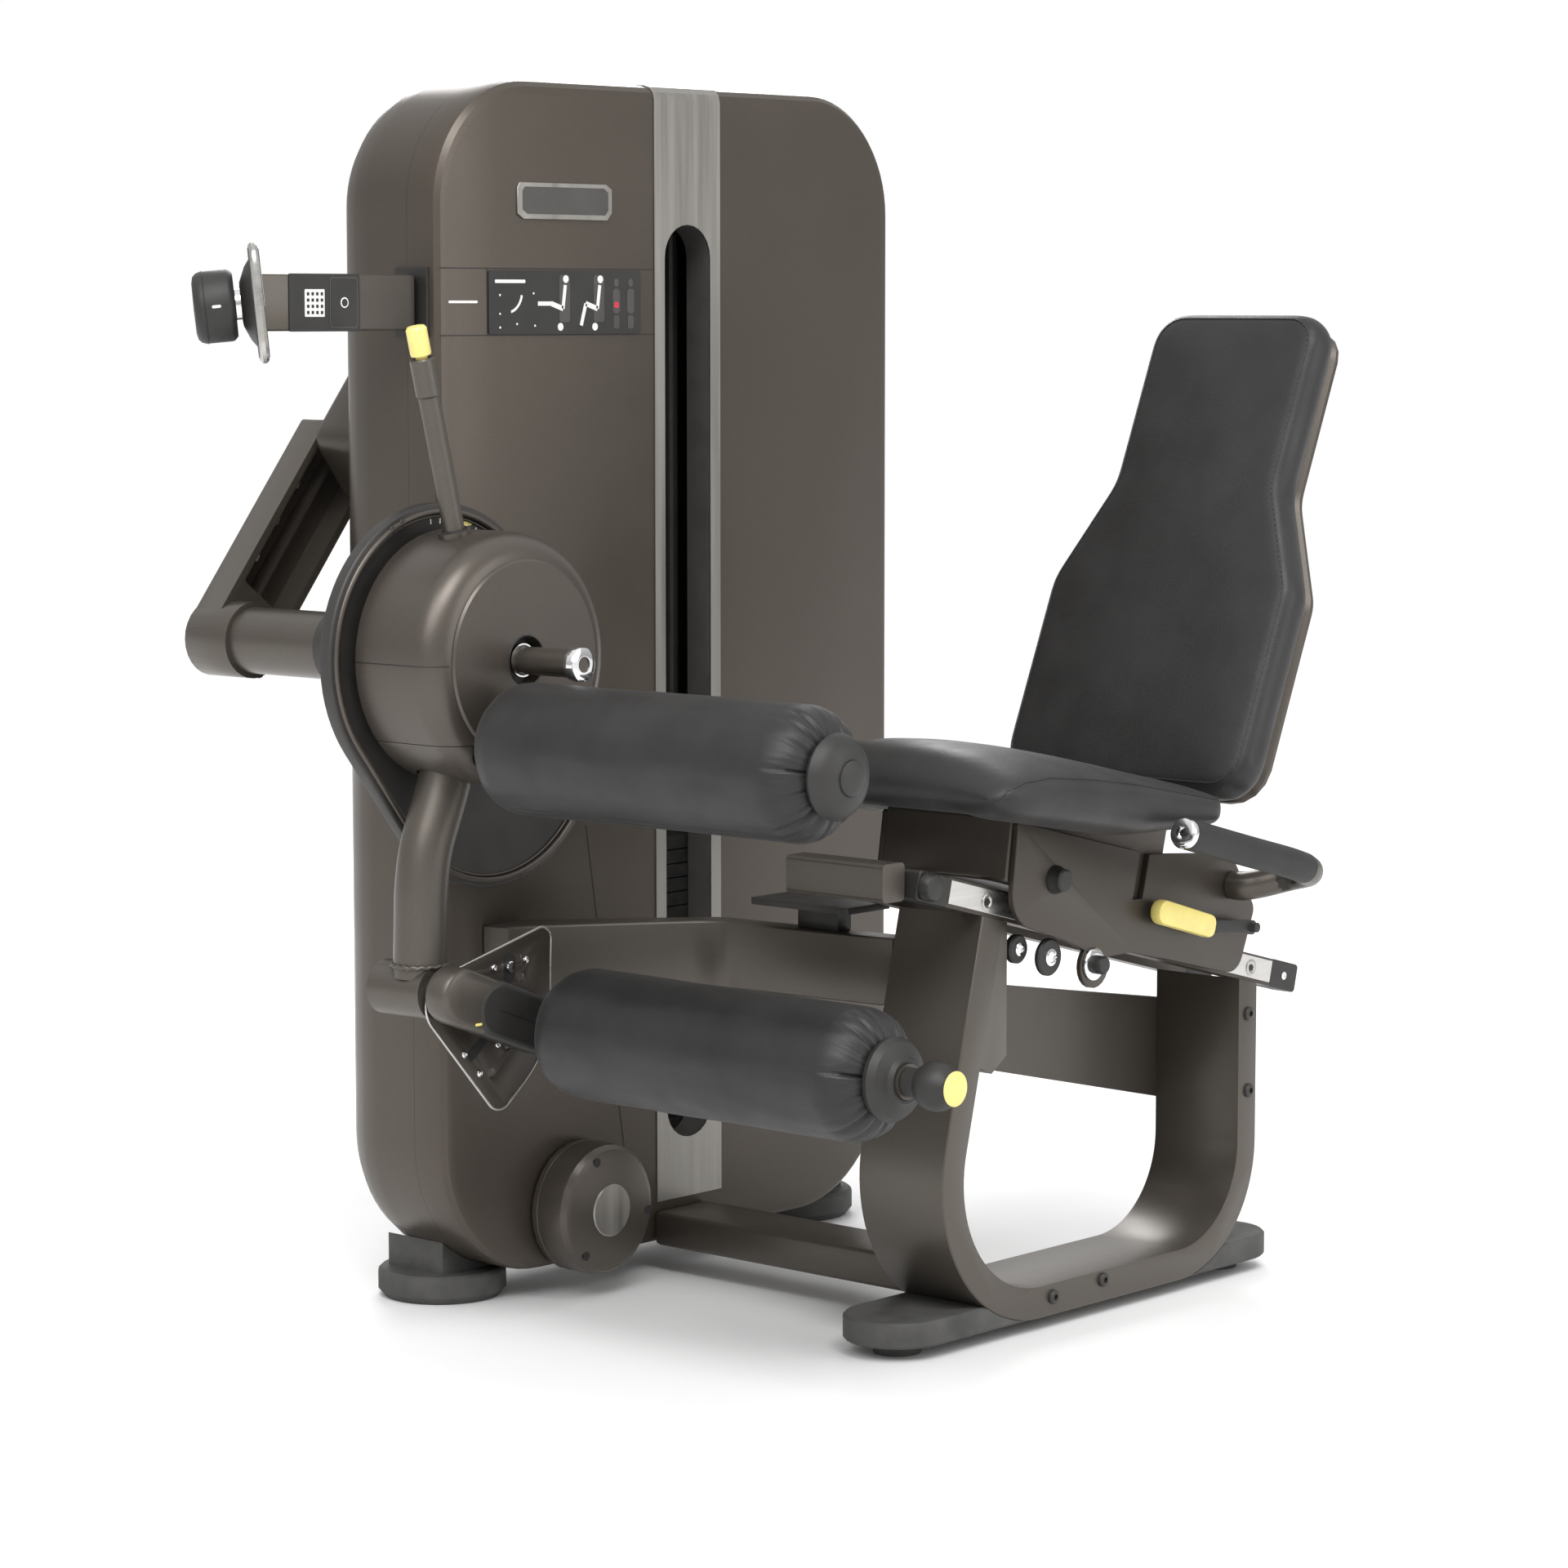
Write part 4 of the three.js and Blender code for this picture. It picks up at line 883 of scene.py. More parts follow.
def add_roller_fittings():
    end = at(TIBIA[0], -716, TIBIA[1])
    button = [(19, -2.2), (19, 0.4), (17, 1.6), (12, 2.6), (6, 3.2), (0, 3.4)]
    turned("tibia_cap_button", button, end, -AXIS_Y, PLASTIC, "tibia_roller", 48)
    middle = at(TIBIA[0], -714.4, TIBIA[1])
    # A dark ring in the cap's groove: painted shade.
    groove = circle_route(middle, AXIS_X, AXIS_Z, 19.8)
    swept("tibia_cap_groove_painted_shade", groove, 0.8, DARK_PRINT_AND_SHADE, "tibia_roller", 8, True)
    disc = [(19, 0), (19, 1.2), (17.5, 2.0), (0, 2.4)]
    turned("knob_disc", disc, at(ANKLE[0], -781.6, ANKLE[1]), -AXIS_Y, YELLOW, "pull_knob", 48)
    ball = [(8, 39), (16, 38.4), (16, 29)]
    ball += [
        (27.4 * math.sin(t), -27.4 * math.cos(t))
        for t in (math.radians(a) for a in (143, 130, 115, 100, 85, 70, 57, 46))
    ]
    ball += [(18.6, -24.6), (0, -24.6)]
    turned("knob_ball", ball, at(ANKLE[0], -757, ANKLE[1]), AXIS_Y, PLASTIC, "pull_knob", 48)


# ---------------------------------------------------------------- tower details

STACK_FRONT_Y = 40
SLOT_BOTTOM = 162
SLOT_TOP = 1294
PANEL_BOTTOM = 1161
PANEL_TOP = 1239
PLATE_PITCH = 17.8
PILE_BOTTOM = 109
RESTING_PLATES = 10
LIFTED_PLATES = 14


def stadium(x, z, half_width, half_height, steps=12):
    return rounded_rectangle(x - half_width, x + half_width, z - half_height, z + half_height,
                             min(half_width, half_height) - 0.01, steps)


def bar_outline(start, end, width):
    """The outline of a straight line of some width between two (x, z) places."""
    along = (Vector(end) - Vector(start)).normalized() * width / 2
    side = Vector((-along.y, along.x))
    return [tuple(Vector(start) - side), tuple(Vector(end) - side),
            tuple(Vector(end) + side), tuple(Vector(start) + side)]


def face_mark(name, outline, y, material, body, thickness=0.35):
    return slab(name, outline, y - thickness, y + 0.15, material, body)


def tower_mark(name, outline, y, material, thickness=0.35):
    return face_mark(name, outline, y, material, "root", thickness)


def figure_strokes(x, z, raised):
    """A seated stick figure: head, back, thigh and a lower leg that is raised or bent."""
    shin = (x - 34, z + 2) if raised else (x - 20, z - 24)
    knee = (x - 12, z + 2)
    hip = (x + 8, z - 4)
    return [
        bar_outline((x + 12, z + 24), hip, 5),
        bar_outline(hip, knee, 6),
        bar_outline(knee, shin, 5),
    ], [stadium(x + 13, z + 31, 4.6, 4.6)]


def add_placard():
    face = -1.9
    for i, (x, raised) in enumerate(((197, True), (256, False))):
        tag = "placard_%d" % i
        tower_mark(tag + "_seat", rounded_rectangle(x + 2, x + 20, 1176, 1232, 4), face, GREY_PLASTIC)
        strokes, heads = figure_strokes(x, 1196, raised)
        for k, outline in enumerate(strokes + heads):
            tower_mark("%s_stroke_%d" % (tag, k), outline, face - 0.3, WHITE_PRINT)
        tower_mark(tag + "_dot", stadium(x + 4, 1170.5, 4.6, 4.6), face, WHITE_PRINT)
    for i, x in enumerate((297, 322)):
        tag = "placard_body_%d" % i
        tower_mark(tag, rounded_rectangle(x - 6, x + 6, 1186, 1216, 5), face, GREY_PLASTIC)
        tower_mark(tag + "_head", stadium(x, 1223, 4, 5), face, GREY_PLASTIC)
        tower_mark(tag + "_leg", rounded_rectangle(x - 5, x + 5, 1168, 1184, 3), face, GREY_PLASTIC)
    tower_mark("placard_red_mark", rounded_rectangle(293, 301, 1193, 1200, 2), face - 0.3, RED_PRINT)
    tower_mark("placard_bar", rounded_rectangle(92, 142, 1222, 1226, 1), face, WHITE_PRINT)
    points = ((100, 1208), (100, 1186), (128, 1174), (100, 1170), (156, 1210), (158, 1172))
    for i, (x, z) in enumerate(points):
        tower_mark("placard_point_%d" % i, stadium(x, z, 1.3, 1.3), face, WHITE_PRINT)
    range_arc = arc((112, 1212), 26, 285, 350, 10) + arc((112, 1212), 23, 350, 285, 10)
    tower_mark("placard_arc", range_arc, face, WHITE_PRINT)


def add_tower_details():
    badge = [
        (130, 1303), (140, 1297), (282, 1297), (290, 1306),
        (290, 1334), (280, 1340), (134, 1340), (130, 1334),
    ]
    slab("badge", badge, -2.6, 0.2, STRIP, "root", 0.8)
    field = [
        (138, 1308), (146, 1303), (278, 1303), (283, 1309),
        (283, 1330), (276, 1335), (142, 1335), (138, 1330),
    ]
    tower_mark("badge_field", field, -2.6, GREY_PLASTIC, 0.3)
    for z in (PANEL_BOTTOM, PANEL_TOP):
        name = "panel_line_%d" % z
        tower_mark(name, rounded_rectangle(4, 364, z - 0.6, z + 0.6, 0.4), 0, DARK_PRINT_AND_SHADE, 0.3)
    tower_mark("panel_line_edge", rounded_rectangle(80, 81.2, PANEL_BOTTOM, PANEL_TOP, 0.4), 0,
               DARK_PRINT_AND_SHADE, 0.3)
    tower_mark("panel_dash", rounded_rectangle(18, 65, 1198.4, 1201.4, 1.4), 0, WHITE_PRINT, 0.5)
    tower_mark("front_joint", bar_outline((241.8, 570), (306.8, 165), 2.2), 0, DARK_PRINT_AND_SHADE, 0.25)
    # A lighter strip beside the dark joint line: a painted highlight along the joint's edge.
    tower_mark("front_joint_painted_highlight", bar_outline((244.0, 570), (309.0, 165), 1.6), 0, COVER_PAINT, 0.3)
    middle_z = (SLOT_BOTTOM + SLOT_TOP) / 2
    half_height = (SLOT_TOP - SLOT_BOTTOM) / 2
    outer = stadium(STRIP_X, middle_z, 42.6, half_height + 1.6, 16)
    inner = stadium(STRIP_X, middle_z, 40.8, half_height - 0.2, 16)
    rings = [[at(x, y, z) for x, z in outline] for outline, y in
             ((outer, 1.0), (outer, 38.0), (inner, 38.0), (inner, 1.0))]
    points = [p for ring in rings for p in ring]
    count = len(outer)
    faces = [
        (level * count + i, level * count + (i + 1) % count,
         (level + 1) % 4 * count + (i + 1) % count, (level + 1) % 4 * count + i)
        for level in range(4) for i in range(count)
    ]
    add_piece("slot_liner", mesh_from("slot_liner", points, faces), GREY_PLASTIC, "root")
    for name, first, count, body in (("resting", 0, RESTING_PLATES, "root"),
                                     ("lifted", RESTING_PLATES, LIFTED_PLATES, "lifted_stack")):
        points = []
        faces = []
        for plate in range(first, first + count):
            z = PILE_BOTTOM + (plate + 0.5) * PLATE_PITCH
            low = len(points)
            outline = rounded_rectangle(STRIP_X - 24, STRIP_X - 15, z - 3, z + 3, 1.4, 3)
            for y in (STACK_FRONT_Y - 0.6, STACK_FRONT_Y + 0.2):
                points += [at(x, y, h) for x, h in outline]
            n = len(outline)
            faces += [(low + i, low + (i + 1) % n, low + n + (i + 1) % n, low + n + i) for i in range(n)]
            faces += [tuple(range(low, low + n)), tuple(range(low + 2 * n - 1, low + n - 1, -1))]
        add_piece("plate_marks_" + name, mesh_from(name, points, faces), WHITE_PRINT, body)
    centre = at(PULLEY[0], -60, PULLEY[1])
    cap = [(32, -1), (32, 1.2), (30.5, 2.4), (0, 3.2)]
    turned("pulley_cap", cap, centre, -AXIS_Y, STRIP, "root", 64)
    # Dark dished spots in the cap: painted shade standing in for the depth of its recesses.
    for i, degrees in enumerate((111, 229, -8)):
        x, z = off_point(PULLEY, 66, degrees)
        turned("pulley_recess_painted_shade_%d" % i, [(5.5, 0), (5.5, 0.5), (3.6, 0.5), (3.2, 0.1), (0, 0.1)],
               at(x, -60, z), -AXIS_Y, DARK_PRINT_AND_SHADE, "root", 24)


# ---------------------------------------------------------------- display details

DISPLAY = (-239, 40, 1199)
HEAD_TURN = math.radians(41)
HEAD_TILT = math.radians(5.5)
HEAD_AXIS = Vector((-math.cos(HEAD_TILT) * math.cos(HEAD_TURN), math.cos(HEAD_TILT) * math.sin(HEAD_TURN),
                    -math.sin(HEAD_TILT)))
HEAD_ACROSS = Vector((-math.sin(HEAD_TURN), -math.cos(HEAD_TURN), 0))
HEAD_UP = HEAD_ACROSS.cross(HEAD_AXIS)


def on_head(across, up, out):
    return at(*DISPLAY) + (HEAD_ACROSS * across + HEAD_UP * up + HEAD_AXIS * out) * MM


def head_slab(name, outline, back, front, material, body):
    rings = [[on_head(x, y, out) for x, y in outline] for out in (back, front)]
    return add_bevel(add_piece(name, rings_mesh(name, rings), material, body), 0.8)


def add_display_details():
    centre = on_head(0, 0, 0)
    cone = [(49, 5), (48.8, 6.4), (41, 12), (24.8, 19), (18.6, 19.6), (0, 19.6)]
    turned("display_cone", cone, centre, HEAD_AXIS, PLASTIC, "display_head")
    neck = [(17.6, 19), (17.6, 25.4), (16.8, 25.9), (0, 25.9)]
    turned("display_neck", neck, centre, HEAD_AXIS, CHROME, "display_head")
    panel = rounded_rectangle(-49, 49, -62, 62, 21)
    head_slab("display_back_panel", panel, 4.5, 5.8, GREY_PLASTIC, "display_head")
    head_slab("display_screen", panel, -6.0, -4.5, SCREEN, "display_head")
    for i in range(4):
        outline = rounded_rectangle(-34 + i * 18, -22 + i * 18, -40, -22 + i * 9, 2)
        head_slab("display_bar_%d" % i, outline, -6.5, -5.8, WHITE_PRINT, "display_head")
    dial = [(35.4, 26), (39.6, 30), (40.4, 33), (40.4, 62), (38.6, 67), (35, 70.6), (28, 72.2), (0, 72.6)]
    knob = turned("dial_body", dial, centre, HEAD_AXIS, PLASTIC, "dial", 96)
    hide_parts("display_knob")
    # A dark ring in the dial's groove: painted shade.
    groove = circle_route(on_head(0, 0, 60), HEAD_ACROSS, HEAD_UP, 40.5, 96)
    swept("dial_groove_painted_shade", groove, 0.6, DARK_PRINT_AND_SHADE, "dial", 8, True)
    dash = rounded_rectangle(-5, 5, -1.6, 1.6, 1.4, 4)
    rings = [[on_head(40.3 + lift, up, 47 + out) for out, up in dash] for lift in (0, 0.7)]
    add_piece("dial_dash", rings_mesh("dial_dash", rings), WHITE_PRINT, "dial")
    y = DISPLAY[1] - 20
    slab("reader_body", rounded_rectangle(-212, -104, 1166.4, 1231.6, 2), y - 1.6, y + 0.4, PLASTIC,
         "display_head", 0.5)
    marks = [
        ("frame", rounded_rectangle(-151, -108, 1170, 1228, 5), 1.6, GREY_PLASTIC, 0.5),
        ("window", rounded_rectangle(-149.4, -109.6, 1171.6, 1226.4, 4), 2.1, PLASTIC, 0.4),
        ("ring", stadium(-129, 1199, 6, 6), 2.5, WHITE_PRINT, 0.3),
        ("ring_hole", stadium(-129, 1199, 4.4, 4.4), 2.8, PLASTIC, 0.3),
        ("tag", rounded_rectangle(-189, -159, 1183, 1214, 1), 1.6, WHITE_PRINT, 0.4),
    ]
    for name, outline, lift, material, thickness in marks:
        face_mark("reader_" + name, outline, y - lift, material, "display_head", thickness)
    for row in range(4):
        for column in range(4):
            x = -186 + column * 7
            z = 1186 + row * 7
            dot = rounded_rectangle(x, x + 3.6, z, z + 3.6, 0.4, 2)
            face_mark("reader_tag_%d%d" % (row, column), dot, y - 2.0, DARK_PRINT_AND_SHADE, "display_head", 0.3)


# ---------------------------------------------------------------- hub details

CAM_RADIUS = 174
CAM_LOBE = (38, 696, 178)
SELECTOR_ANGLE = math.radians(14)
ARM_ANGLE = math.radians(38)


def two_circle_outline(first, second, inset, steps=40):
    """The outline round two circles, each (x, z, radius), moved in by an inset."""
    (x1, z1, r1), (x2, z2, r2) = first, second
    along = math.degrees(math.atan2(z2 - z1, x2 - x1))
    spread = math.degrees(math.acos((r1 - r2) / math.hypot(x2 - x1, z2 - z1)))
    return [
        *arc((x1, z1), r1 - inset, along + spread, along - spread + 360, steps),
        *arc((x2, z2), r2 - inset, along - spread, along + spread, steps),
    ]


def out_of_hub(radius):
    """A place on the selector rod's axis at a distance from the hub's middle."""
    x = HUB[0] - radius * math.sin(SELECTOR_ANGLE)
    z = HUB[1] + radius * math.cos(SELECTOR_ANGLE)
    return at(x, -110, z)


def add_hub_details():
    hub = (*HUB, CAM_RADIUS)
    lip = [at(x, -50.4, z) for x, z in two_circle_outline(hub, CAM_LOBE, 9.5)]
    swept("cam_lip", lip, 3.6, COVER_PAINT, "cam", 12, True)
    bead = [at(x, -47.5, z) for x, z in two_circle_outline(hub, CAM_LOBE, 15)]
    swept("cam_bead", bead, 1.5, FRAME_PAINT, "cam", 10, True)
    for i in range(13):
        start, end = (off_point(HUB, reach, 28 + i * 5.5) for reach in (150, 156))
        face_mark("cam_tick_%02d" % i, bar_outline(start, end, 1.6), -45, WHITE_PRINT, "cam")
    face_mark("cam_yellow_tick", rounded_rectangle(-10, 8, 943, 948, 1), -45, YELLOW, "cam", 0.6)
    for i, degrees in enumerate((112, 118)):
        x, z = off_point(HUB, 165, degrees)
        screw("cam_screw_%d" % i, x, -51, z, 4.5, "cam", DARK_PAINT)
    profile = [(-145.2, -62), (-145.2, -151)]
    profile += [(-111 - 34.2 * math.cos(t), -151 - 34.2 * math.sin(t))
                for t in (math.pi / 2 * k / 8 for k in range(1, 8))]
    line = [at(HUB[0] + x, y, HUB[1]) for x, y in profile]
    swept("drum_seam", line, 0.55, DARK_PRINT_AND_SHADE, "lever", 8)
    upper = [(145.2 * math.cos(t), 145.2 * math.sin(t)) for t in (math.radians(a) for a in range(28, 75, 3))]
    swept("drum_panel_seam", [at(HUB[0] + x, -150, HUB[1] + z) for x, z in upper], 0.45, DARK_PRINT_AND_SHADE,
          "lever", 8)
    # A dark ring round the handle's recess: painted shade at the recess edge.
    ring = circle_route(at(HUB[0], -188.2, HUB[1]), AXIS_X, AXIS_Z, 28.2)
    swept("hub_recess_painted_shade", ring, 0.9, DARK_PRINT_AND_SHADE, "lever", 8, True)
    axis = (out_of_hub(2) - out_of_hub(1)).normalized()
    side, other = square_axes(axis)
    # A dark ring where the rod leaves the drum: painted shade in the gap.
    collar = circle_route(out_of_hub(150.2), side, other, 14.2, 40)
    swept("selector_gap_painted_shade", collar, 1.5, DARK_PRINT_AND_SHADE, "lever", 8, True)
    sleeve = [(12.5, 306), (14.2, 308), (14.2, 349), (13, 350.4), (11.4, 350.4), (11.4, 340), (0, 340)]
    turned("selector_collar", sleeve, out_of_hub(0), axis, FRAME_PAINT, "lever", 40)
    root = [(19.4, 0), (19.8, 1), (19.8, 5), (19.2, 6), (0, 6)]
    turned("handle_root_ring", root, at(HUB[0], -177, HUB[1]), -AXIS_Y, CHROME, "lever", 48)
    cap = [(17, 0), (19.8, 2), (20, 4), (20, 12), (18.8, 14.4), (16, 15.6), (9, 15.8), (8.4, 9), (0, 9)]
    turned("handle_end_cap", cap, at(HUB[0], -263, HUB[1]), -AXIS_Y, CHROME, "lever", 48)
    turned("handle_end_socket", [(5, 0), (5, 2.4), (3, 2.6), (2.8, 1), (0, 1)], at(HUB[0], -272, HUB[1]),
           -AXIS_Y, CHROME, "lever", 6)


def add_index_details():
    corners = [(PIVOT[0] - 52, PIVOT[1] + 6, 34), (PIVOT[0] + 178, PIVOT[1] + 64, 16),
               (PIVOT[0] + 172, PIVOT[1] - 84, 110), (PIVOT[0] + 90, PIVOT[1] - 154, 22)]
    # A bright steel bead round the index plate: partly its silver edge, partly a painted highlight standing
    # in for the gleam along the plate's edge.
    edge = [at(x, -134.6, z) for x, z in rounded_polygon(corners, 14)]
    swept("index_edge_and_painted_highlight", edge, 1.5, PLATE_STEEL, "lever", 12, True)
    face = -135.3
    # Dark key slot on the plate: painted shade standing in for the cut-out's depth.
    face_mark("index_keyhole_painted_shade", stadium(-24, 438, 9, 17), face, DARK_PRINT_AND_SHADE, "lever")
    turned("index_pin", [(6.5, 0), (6.5, 3.4), (5.4, 4.4), (0, 4.6)], at(-25, face - 0.3, 440), -AXIS_Y,
           CHROME, "lever", 32)
    for i, (x, z) in enumerate(((-50, 441), (2, 445), (-98, 347), (-74, 322), (-44, 352))):
        screw("index_bolt_%d" % i, x, face, z, 4.2, "lever")
    # Dark arc slot: painted shade standing in for the depth of the cut-out track.
    track = arc((PIVOT[0], PIVOT[1]), 96, -62, -30, 10) + arc((PIVOT[0], PIVOT[1]), 84, -30, -62, 10)
    face_mark("index_track_painted_shade", track, face, DARK_PRINT_AND_SHADE, "lever")
    weld_x = PIVOT[0]
    weld_z = PIVOT[1] + 30
    weld = [
        at(weld_x + 31.4 * math.cos(t), LEVER_Y + 31.4 * math.sin(t), weld_z + 0.8 * math.sin(19 * t))
        for t in full_turn(96)
    ]
    swept("lever_weld", weld, 2.6, FRAME_PAINT, "lever", 10, True)
    share = 0.42
    middle = (PIVOT[0] + (ANKLE[0] - PIVOT[0]) * share, PIVOT[1] + (ANKLE[1] - PIVOT[1]) * share)
    boot = two_circle_outline((*middle, 33.4), (*ANKLE, 32.4), 0, 24)
    slab("crank_boot", boot, -176.4, -141.0, PLASTIC, "crank", 7)
    face_mark("crank_seam", bar_outline(middle, ANKLE, 0.9), -176.4, DARK_PRINT_AND_SHADE, "crank", 0.3)
    for i, (x, z) in enumerate(((-118, 386), (-92, 374))):
        face_mark("crank_mark_%d" % i, rounded_rectangle(x, x + 10, z, z + 3, 1), -175, YELLOW, "crank", 0.5)


def on_arm(out, right):
    """A point outwards along the counterweight arm and to its right, as (x, z)."""
    x = HUB[0] + out * math.sin(ARM_ANGLE) + right * math.cos(ARM_ANGLE)
    z = HUB[1] + out * math.cos(ARM_ANGLE) - right * math.sin(ARM_ANGLE)
    return x, z


def add_counterweight_details():
    for i, out in enumerate((110, 165, 220)):
        x, z = on_arm(out, -16)
        turned("counterweight_bolt_%d" % i, [(9, 0), (9, 5), (7.6, 6.4), (0, 6.4)], at(x, 337, z), -AXIS_Y,
               CHROME, "lever", 6)
    for i, right in enumerate((-14, 22)):
        x, z = on_arm(36, right)
        screw("counterweight_screw_%d" % i, x, 301, z, 6, "lever")
    outline = [on_arm(o, r) for o, r in ((268, 118), (430, 118), (430, 119.4), (268, 119.4))]
    slab("counterweight_joint", outline, 250, 290, DARK_PRINT_AND_SHADE, "lever")


# ---------------------------------------------------------------- seat frame details

RAIL_NEAR_FACE = -560
RAIL_FAR_FACE = -402


def add_rail_details(word, near_y, far_y, outer_y, outwards):
    """End caps, silver facing strips and screws on one rail."""
    for end, low, high in (("front", -126.6, -70), ("rear", 579, 635.6)):
        outline = rounded_rectangle(low, high, -17.6, 17.6, 5)
        rail_slab("rail_cap_%s_%s" % (word, end), outline, near_y - 0.5, far_y + 0.5, PLASTIC, "root", 2.0)
    faces = sorted((outer_y, outer_y + outwards * 0.9))
    rail_slab("rail_facing_" + word, rounded_rectangle(-69, 578, -12.5, 14.5, 1), *faces, RAIL_SILVER, "root",
              0.4)
    for i, along in enumerate((0, 534)):
        x, z = on_rail(along, 0)
        place = at(x, outer_y + outwards * 0.9, z)
        ring = [(10, 0), (10, 0.9), (8.6, 1.5), (5.6, 0.9), (4.6, 0.4), (0, 0.4)]
        turned("rail_screw_%s_%d" % (word, i), ring, place, AXIS_Y * outwards, PLATE_STEEL, "root", 40)
        # Dark hexagon in the screw head: painted shade standing in for the socket's depth.
        socket = [(4.2, 0.3), (4.2, 1.0), (0, 1.0)]
        turned("rail_socket_%s_%d" % (word, i), socket, place, AXIS_Y * outwards, DARK_PRINT_AND_SHADE, "root", 6)


def add_wheel(name, along, up, y, radius, width, body):
    """A guide wheel under the rail: a black tyre with a bright bearing."""
    x, z = on_rail(along, up)
    centre = at(x, y, z)
    tyre = [
        (radius * 0.5, 0), (radius - 2, 0), (radius, 2), (radius, width - 2), (radius - 2, width), (0, width),
    ]
    turned(name, tyre, centre, -AXIS_Y, PLASTIC, body, 48)
    hub = [(radius * 0.46, width - 0.5), (radius * 0.46, width + 1.4), (radius * 0.3, width + 2.2),
           (radius * 0.28, width + 0.6), (0, width + 0.6)]
    turned(name + "_bearing", hub, centre, -AXIS_Y, CHROME, body, 40)


def add_frame_details():
    add_rail_details("near", -560, -530, RAIL_NEAR_FACE, -1)
    add_rail_details("far", -432, -402, RAIL_FAR_FACE, 1)
    for i, (x, z) in enumerate(((830.4, 328.4), (832.2, 232.3), (444.9, 38.1), (540.6, 42.7))):
        screw("frame_bolt_%d" % i, x, -563, z, 8.5, "root", DARK_PAINT)
    x, z = on_rail(-112, 0)
    knob = [(15, 0), (16.5, 2), (16.5, 9), (14, 13), (9, 15), (0, 15)]
    turned("front_stop", knob, at(x, -560.4, z), -AXIS_Y, PLASTIC, "root", 40)
    ring = [(5, 0), (5, 1.4), (3, 1.6), (2.6, 0.6), (0, 0.6)]
    for name, (x, z) in (("front_stop_ring", on_rail(-90, 2)), ("rear_stop_ring", on_rail(606, 0))):
        turned(name, ring, at(x, -560.4, z), -AXIS_Y, CHROME, "root", 32)
    add_wheel("guide_wheel_front", 76, -44, -548, 17, 10, "carriage")
    add_wheel("guide_wheel_middle", 118, -46, -564.5, 22, 8, "carriage")
    x, z = on_rail(191, -44)
    eccentric = [(19, 0), (19, 2.4), (17, 3.6), (11, 3.8), (0, 3.8)]
    turned("eccentric_washer", eccentric, at(x - 4, -583, z + 2), -AXIS_Y, CHROME, "carriage", 48)
    stud = [(10.5, 3), (11, 5), (11, 15), (9, 18), (0, 18.4)]
    turned("eccentric_stud", stud, at(x - 4, -583, z + 2), -AXIS_Y, PLASTIC, "carriage", 40)
    x, z = on_rail(89, 42)
    boss = [(17, 0), (16.6, 4), (14, 9), (13.4, 15), (11, 17), (0, 17.6)]
    turned("plate_boss", boss, at(x, -582.6, z), -AXIS_Y, PLASTIC, "carriage", 40)


# ---------------------------------------------------------------- grips

GRIP_OFFSET = 219
GRIP_END_OFFSET = 102.6


def add_grip(word, side):
    """A rubber grip, a bronze bend behind it and a chrome plug in the open end."""
    y = SEAT_Y + side * GRIP_OFFSET
    inner = SEAT_Y + side * GRIP_END_OFFSET
    places = [(165, 118, y), (290, 118, y), (395, 118, y), (440, 116, y - side * 12),
              (456, 110, y - side * 48), (444, 96, inner + side * 34), (436, 90, inner + side * 16),
              (436, 90, inner)]
    route = []
    for along, up, across in places:
        x, z = on_rail(along, up)
        route.append(at(x, across, z))
    curve = smooth_route(route, 10)
    swept("grip_bend_" + word, curve[24:-1], 17.5, FRAME_PAINT, "carriage", 40)
    grip = [curve[0].lerp(curve[10], 0.03)] + curve[1:25]
    swept("grip_rubber_" + word, grip, 18.4, GRIP, "carriage", 48)
    forward = (curve[0] - curve[5]).normalized()
    plug = [(17.2, -6), (18.2, -2), (18.4, 2), (17, 5), (13.6, 6.4), (8, 6.6), (7.4, 2), (0, 2)]
    turned("grip_plug_" + word, plug, curve[0], forward, CHROME, "carriage", 48)
    turned("grip_plug_core_" + word, [(4.6, 1), (4.6, 4.4), (2.6, 4.6), (2.4, 3), (0, 3)], curve[0], forward,
           DARK_PRINT_AND_SHADE, "carriage", 24)


add_camera()
finish_cad_nodes()
add_seat()
add_backrest()
add_roller("tibia_leather", "tibia_pad", *TIBIA, "tibia_roller", math.radians(-120))
add_roller("ankle_leather", "ankle_pad", *ANKLE, "ankle_roller", math.radians(-112))
add_roller_fittings()
add_placard()
add_tower_details()
add_display_details()
add_hub_details()
add_index_details()
add_counterweight_details()
add_frame_details()
add_grip("near", -1)
add_grip("far", 1)


# ---------------------------------------------------------------- floor and light

def add_floor():
    size = 60.0
    corners = [(-size, -size, 0), (size, -size, 0), (size, size, 0), (-size, size, 0)]
    mesh = mesh_from("floor", [Vector(c) for c in corners], [(0, 1, 2, 3)])
    f = Finish("floor_paper", (0.86, 0.86, 0.86), 0.55)
    f.set("Specular IOR Level", 0.3)
    f.vary_colour(f.noise(2.0, 3), 0.99, 1.0)
    mesh.materials.append(f.material)
    floor = bpy.data.objects.new("floor", mesh)
    bpy.context.scene.collection.objects.link(floor)


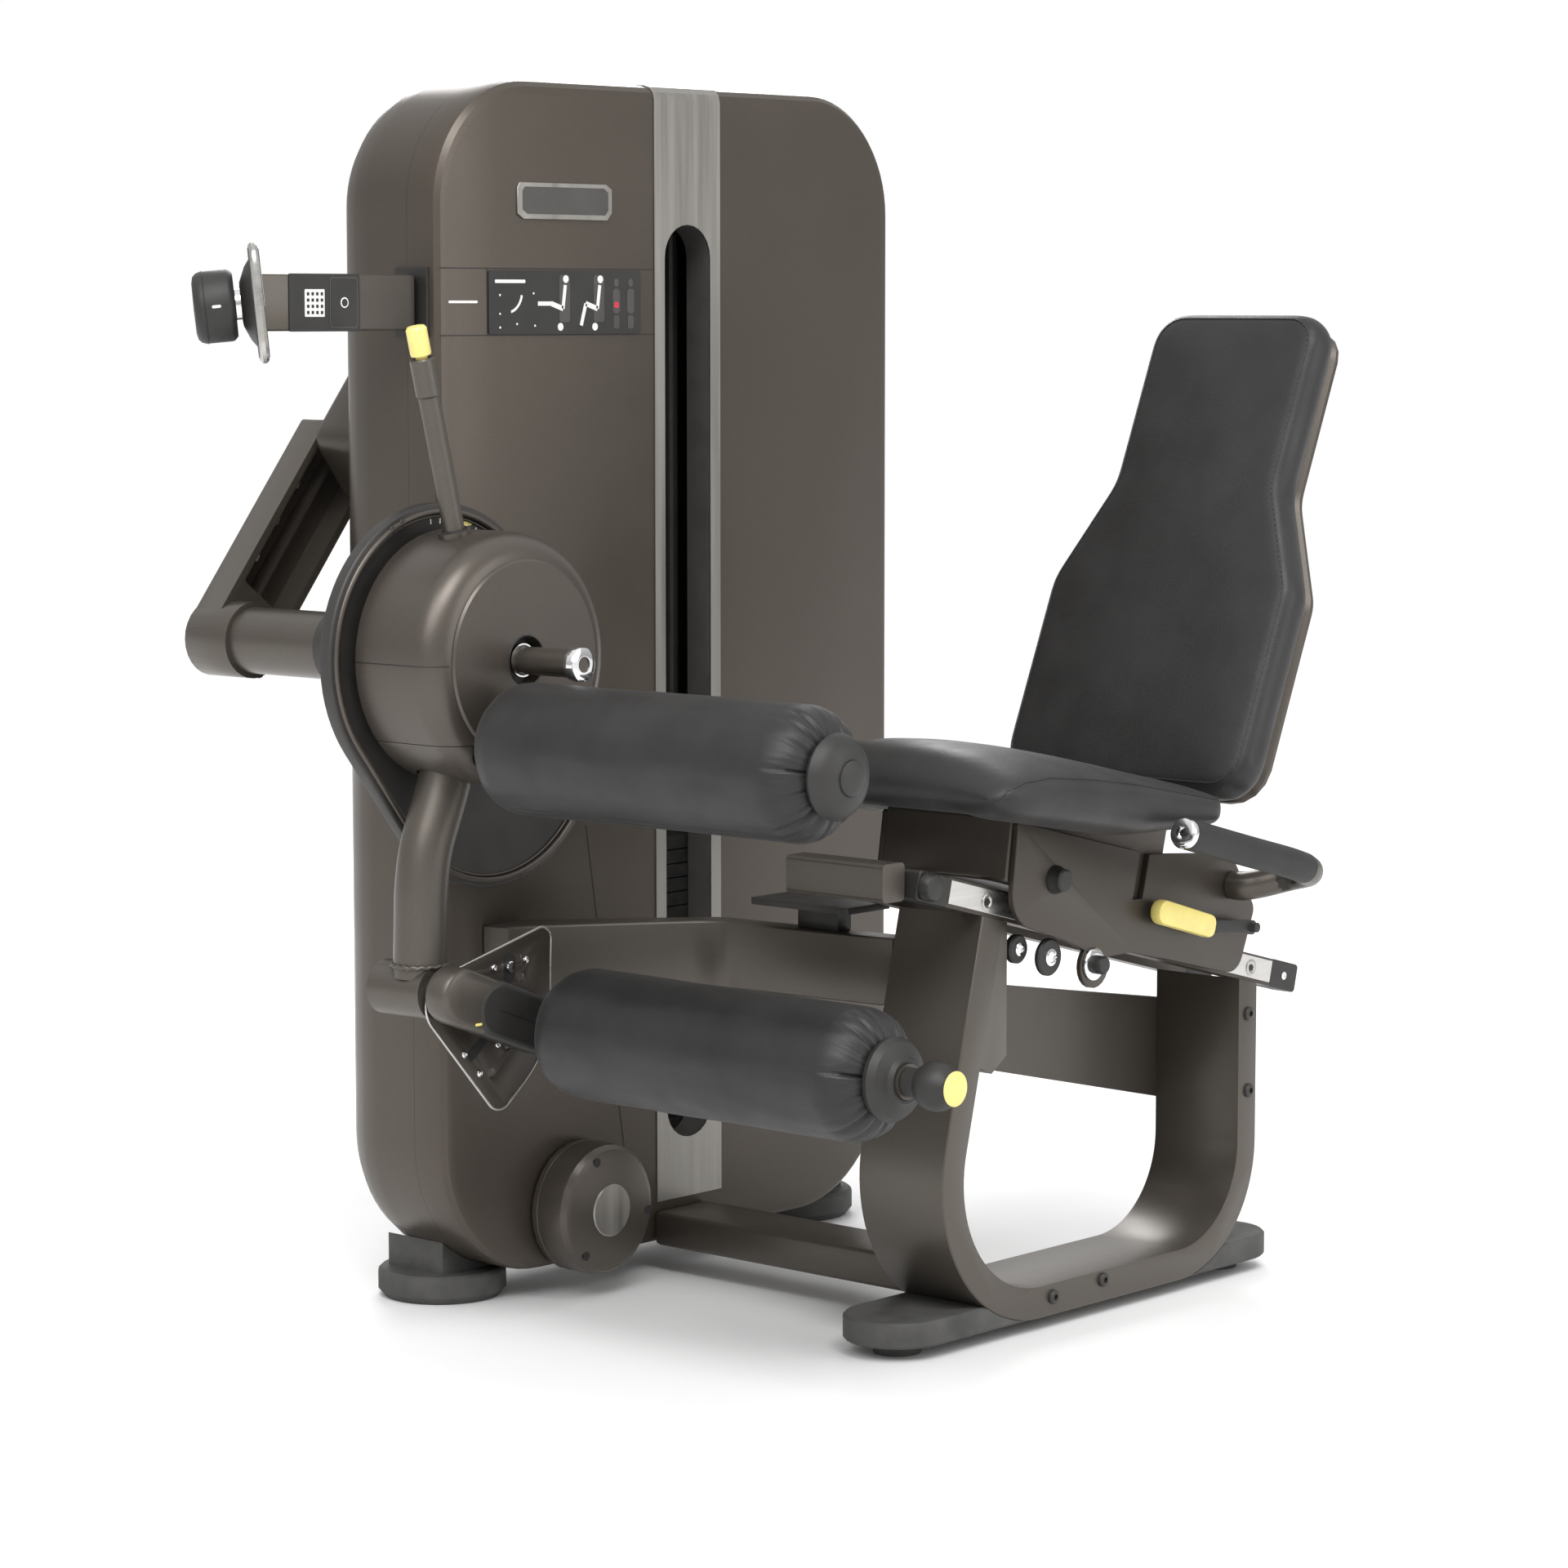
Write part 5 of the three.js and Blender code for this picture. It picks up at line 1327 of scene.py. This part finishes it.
def add_area_light(name, place, target, size, power):
    data = bpy.data.lights.new(name, "AREA")
    data.shape = "RECTANGLE"
    data.size, data.size_y = size
    data.energy = power
    light = bpy.data.objects.new(name, data)
    light.location = place
    light.rotation_euler = (Vector(target) - Vector(place)).to_track_quat("-Z", "Y").to_euler()
    bpy.context.scene.collection.objects.link(light)


SIDE_SKY = 0.35
TOP_SKY = 1.0


def add_lights():
    """A white backdrop, a sky that is brightest overhead, a soft sun and three large lamps."""
    world = bpy.data.worlds.new("studio")
    world.use_nodes = True
    tree = world.node_tree
    path = tree.nodes.new("ShaderNodeLightPath")
    spot = tree.nodes.new("ShaderNodeTexCoord")
    split = tree.nodes.new("ShaderNodeSeparateXYZ")
    tree.links.new(spot.outputs["Generated"], split.inputs["Vector"])
    rise = tree.nodes.new("ShaderNodeMapRange")
    rise.inputs["From Min"].default_value = -0.1
    rise.inputs["From Max"].default_value = 0.9
    rise.inputs["To Min"].default_value = SIDE_SKY
    rise.inputs["To Max"].default_value = TOP_SKY
    tree.links.new(split.outputs["Z"], rise.inputs["Value"])
    brighter = tree.nodes.new("ShaderNodeMath")
    brighter.operation = "MAXIMUM"
    tree.links.new(rise.outputs["Result"], brighter.inputs[0])
    tree.links.new(path.outputs["Is Camera Ray"], brighter.inputs[1])
    backdrop = tree.nodes["Background"]
    backdrop.inputs["Color"].default_value = (1.0, 1.0, 1.0, 1)
    tree.links.new(brighter.outputs["Value"], backdrop.inputs["Strength"])
    bpy.context.scene.world = world
    middle = (0.0, 0.0, 0.7)
    sun = bpy.data.lights.new("sun", "SUN")
    sun.energy = 1.6
    sun.angle = math.radians(30)
    lamp = bpy.data.objects.new("sun", sun)
    lamp.rotation_euler = (math.radians(28), math.radians(-24), 0)
    bpy.context.scene.collection.objects.link(lamp)
    add_area_light("key", (-3.2, -1.0, 3.2), middle, (2.2, 2.2), 60)
    add_area_light("fill", (1.2, -4.0, 2.0), middle, (2.4, 2.4), 45)
    add_area_light("rim", (2.8, 3.0, 3.0), middle, (2.0, 2.0), 70)
    bpy.context.scene.view_settings.view_transform = "Standard"


add_floor()
add_lights()
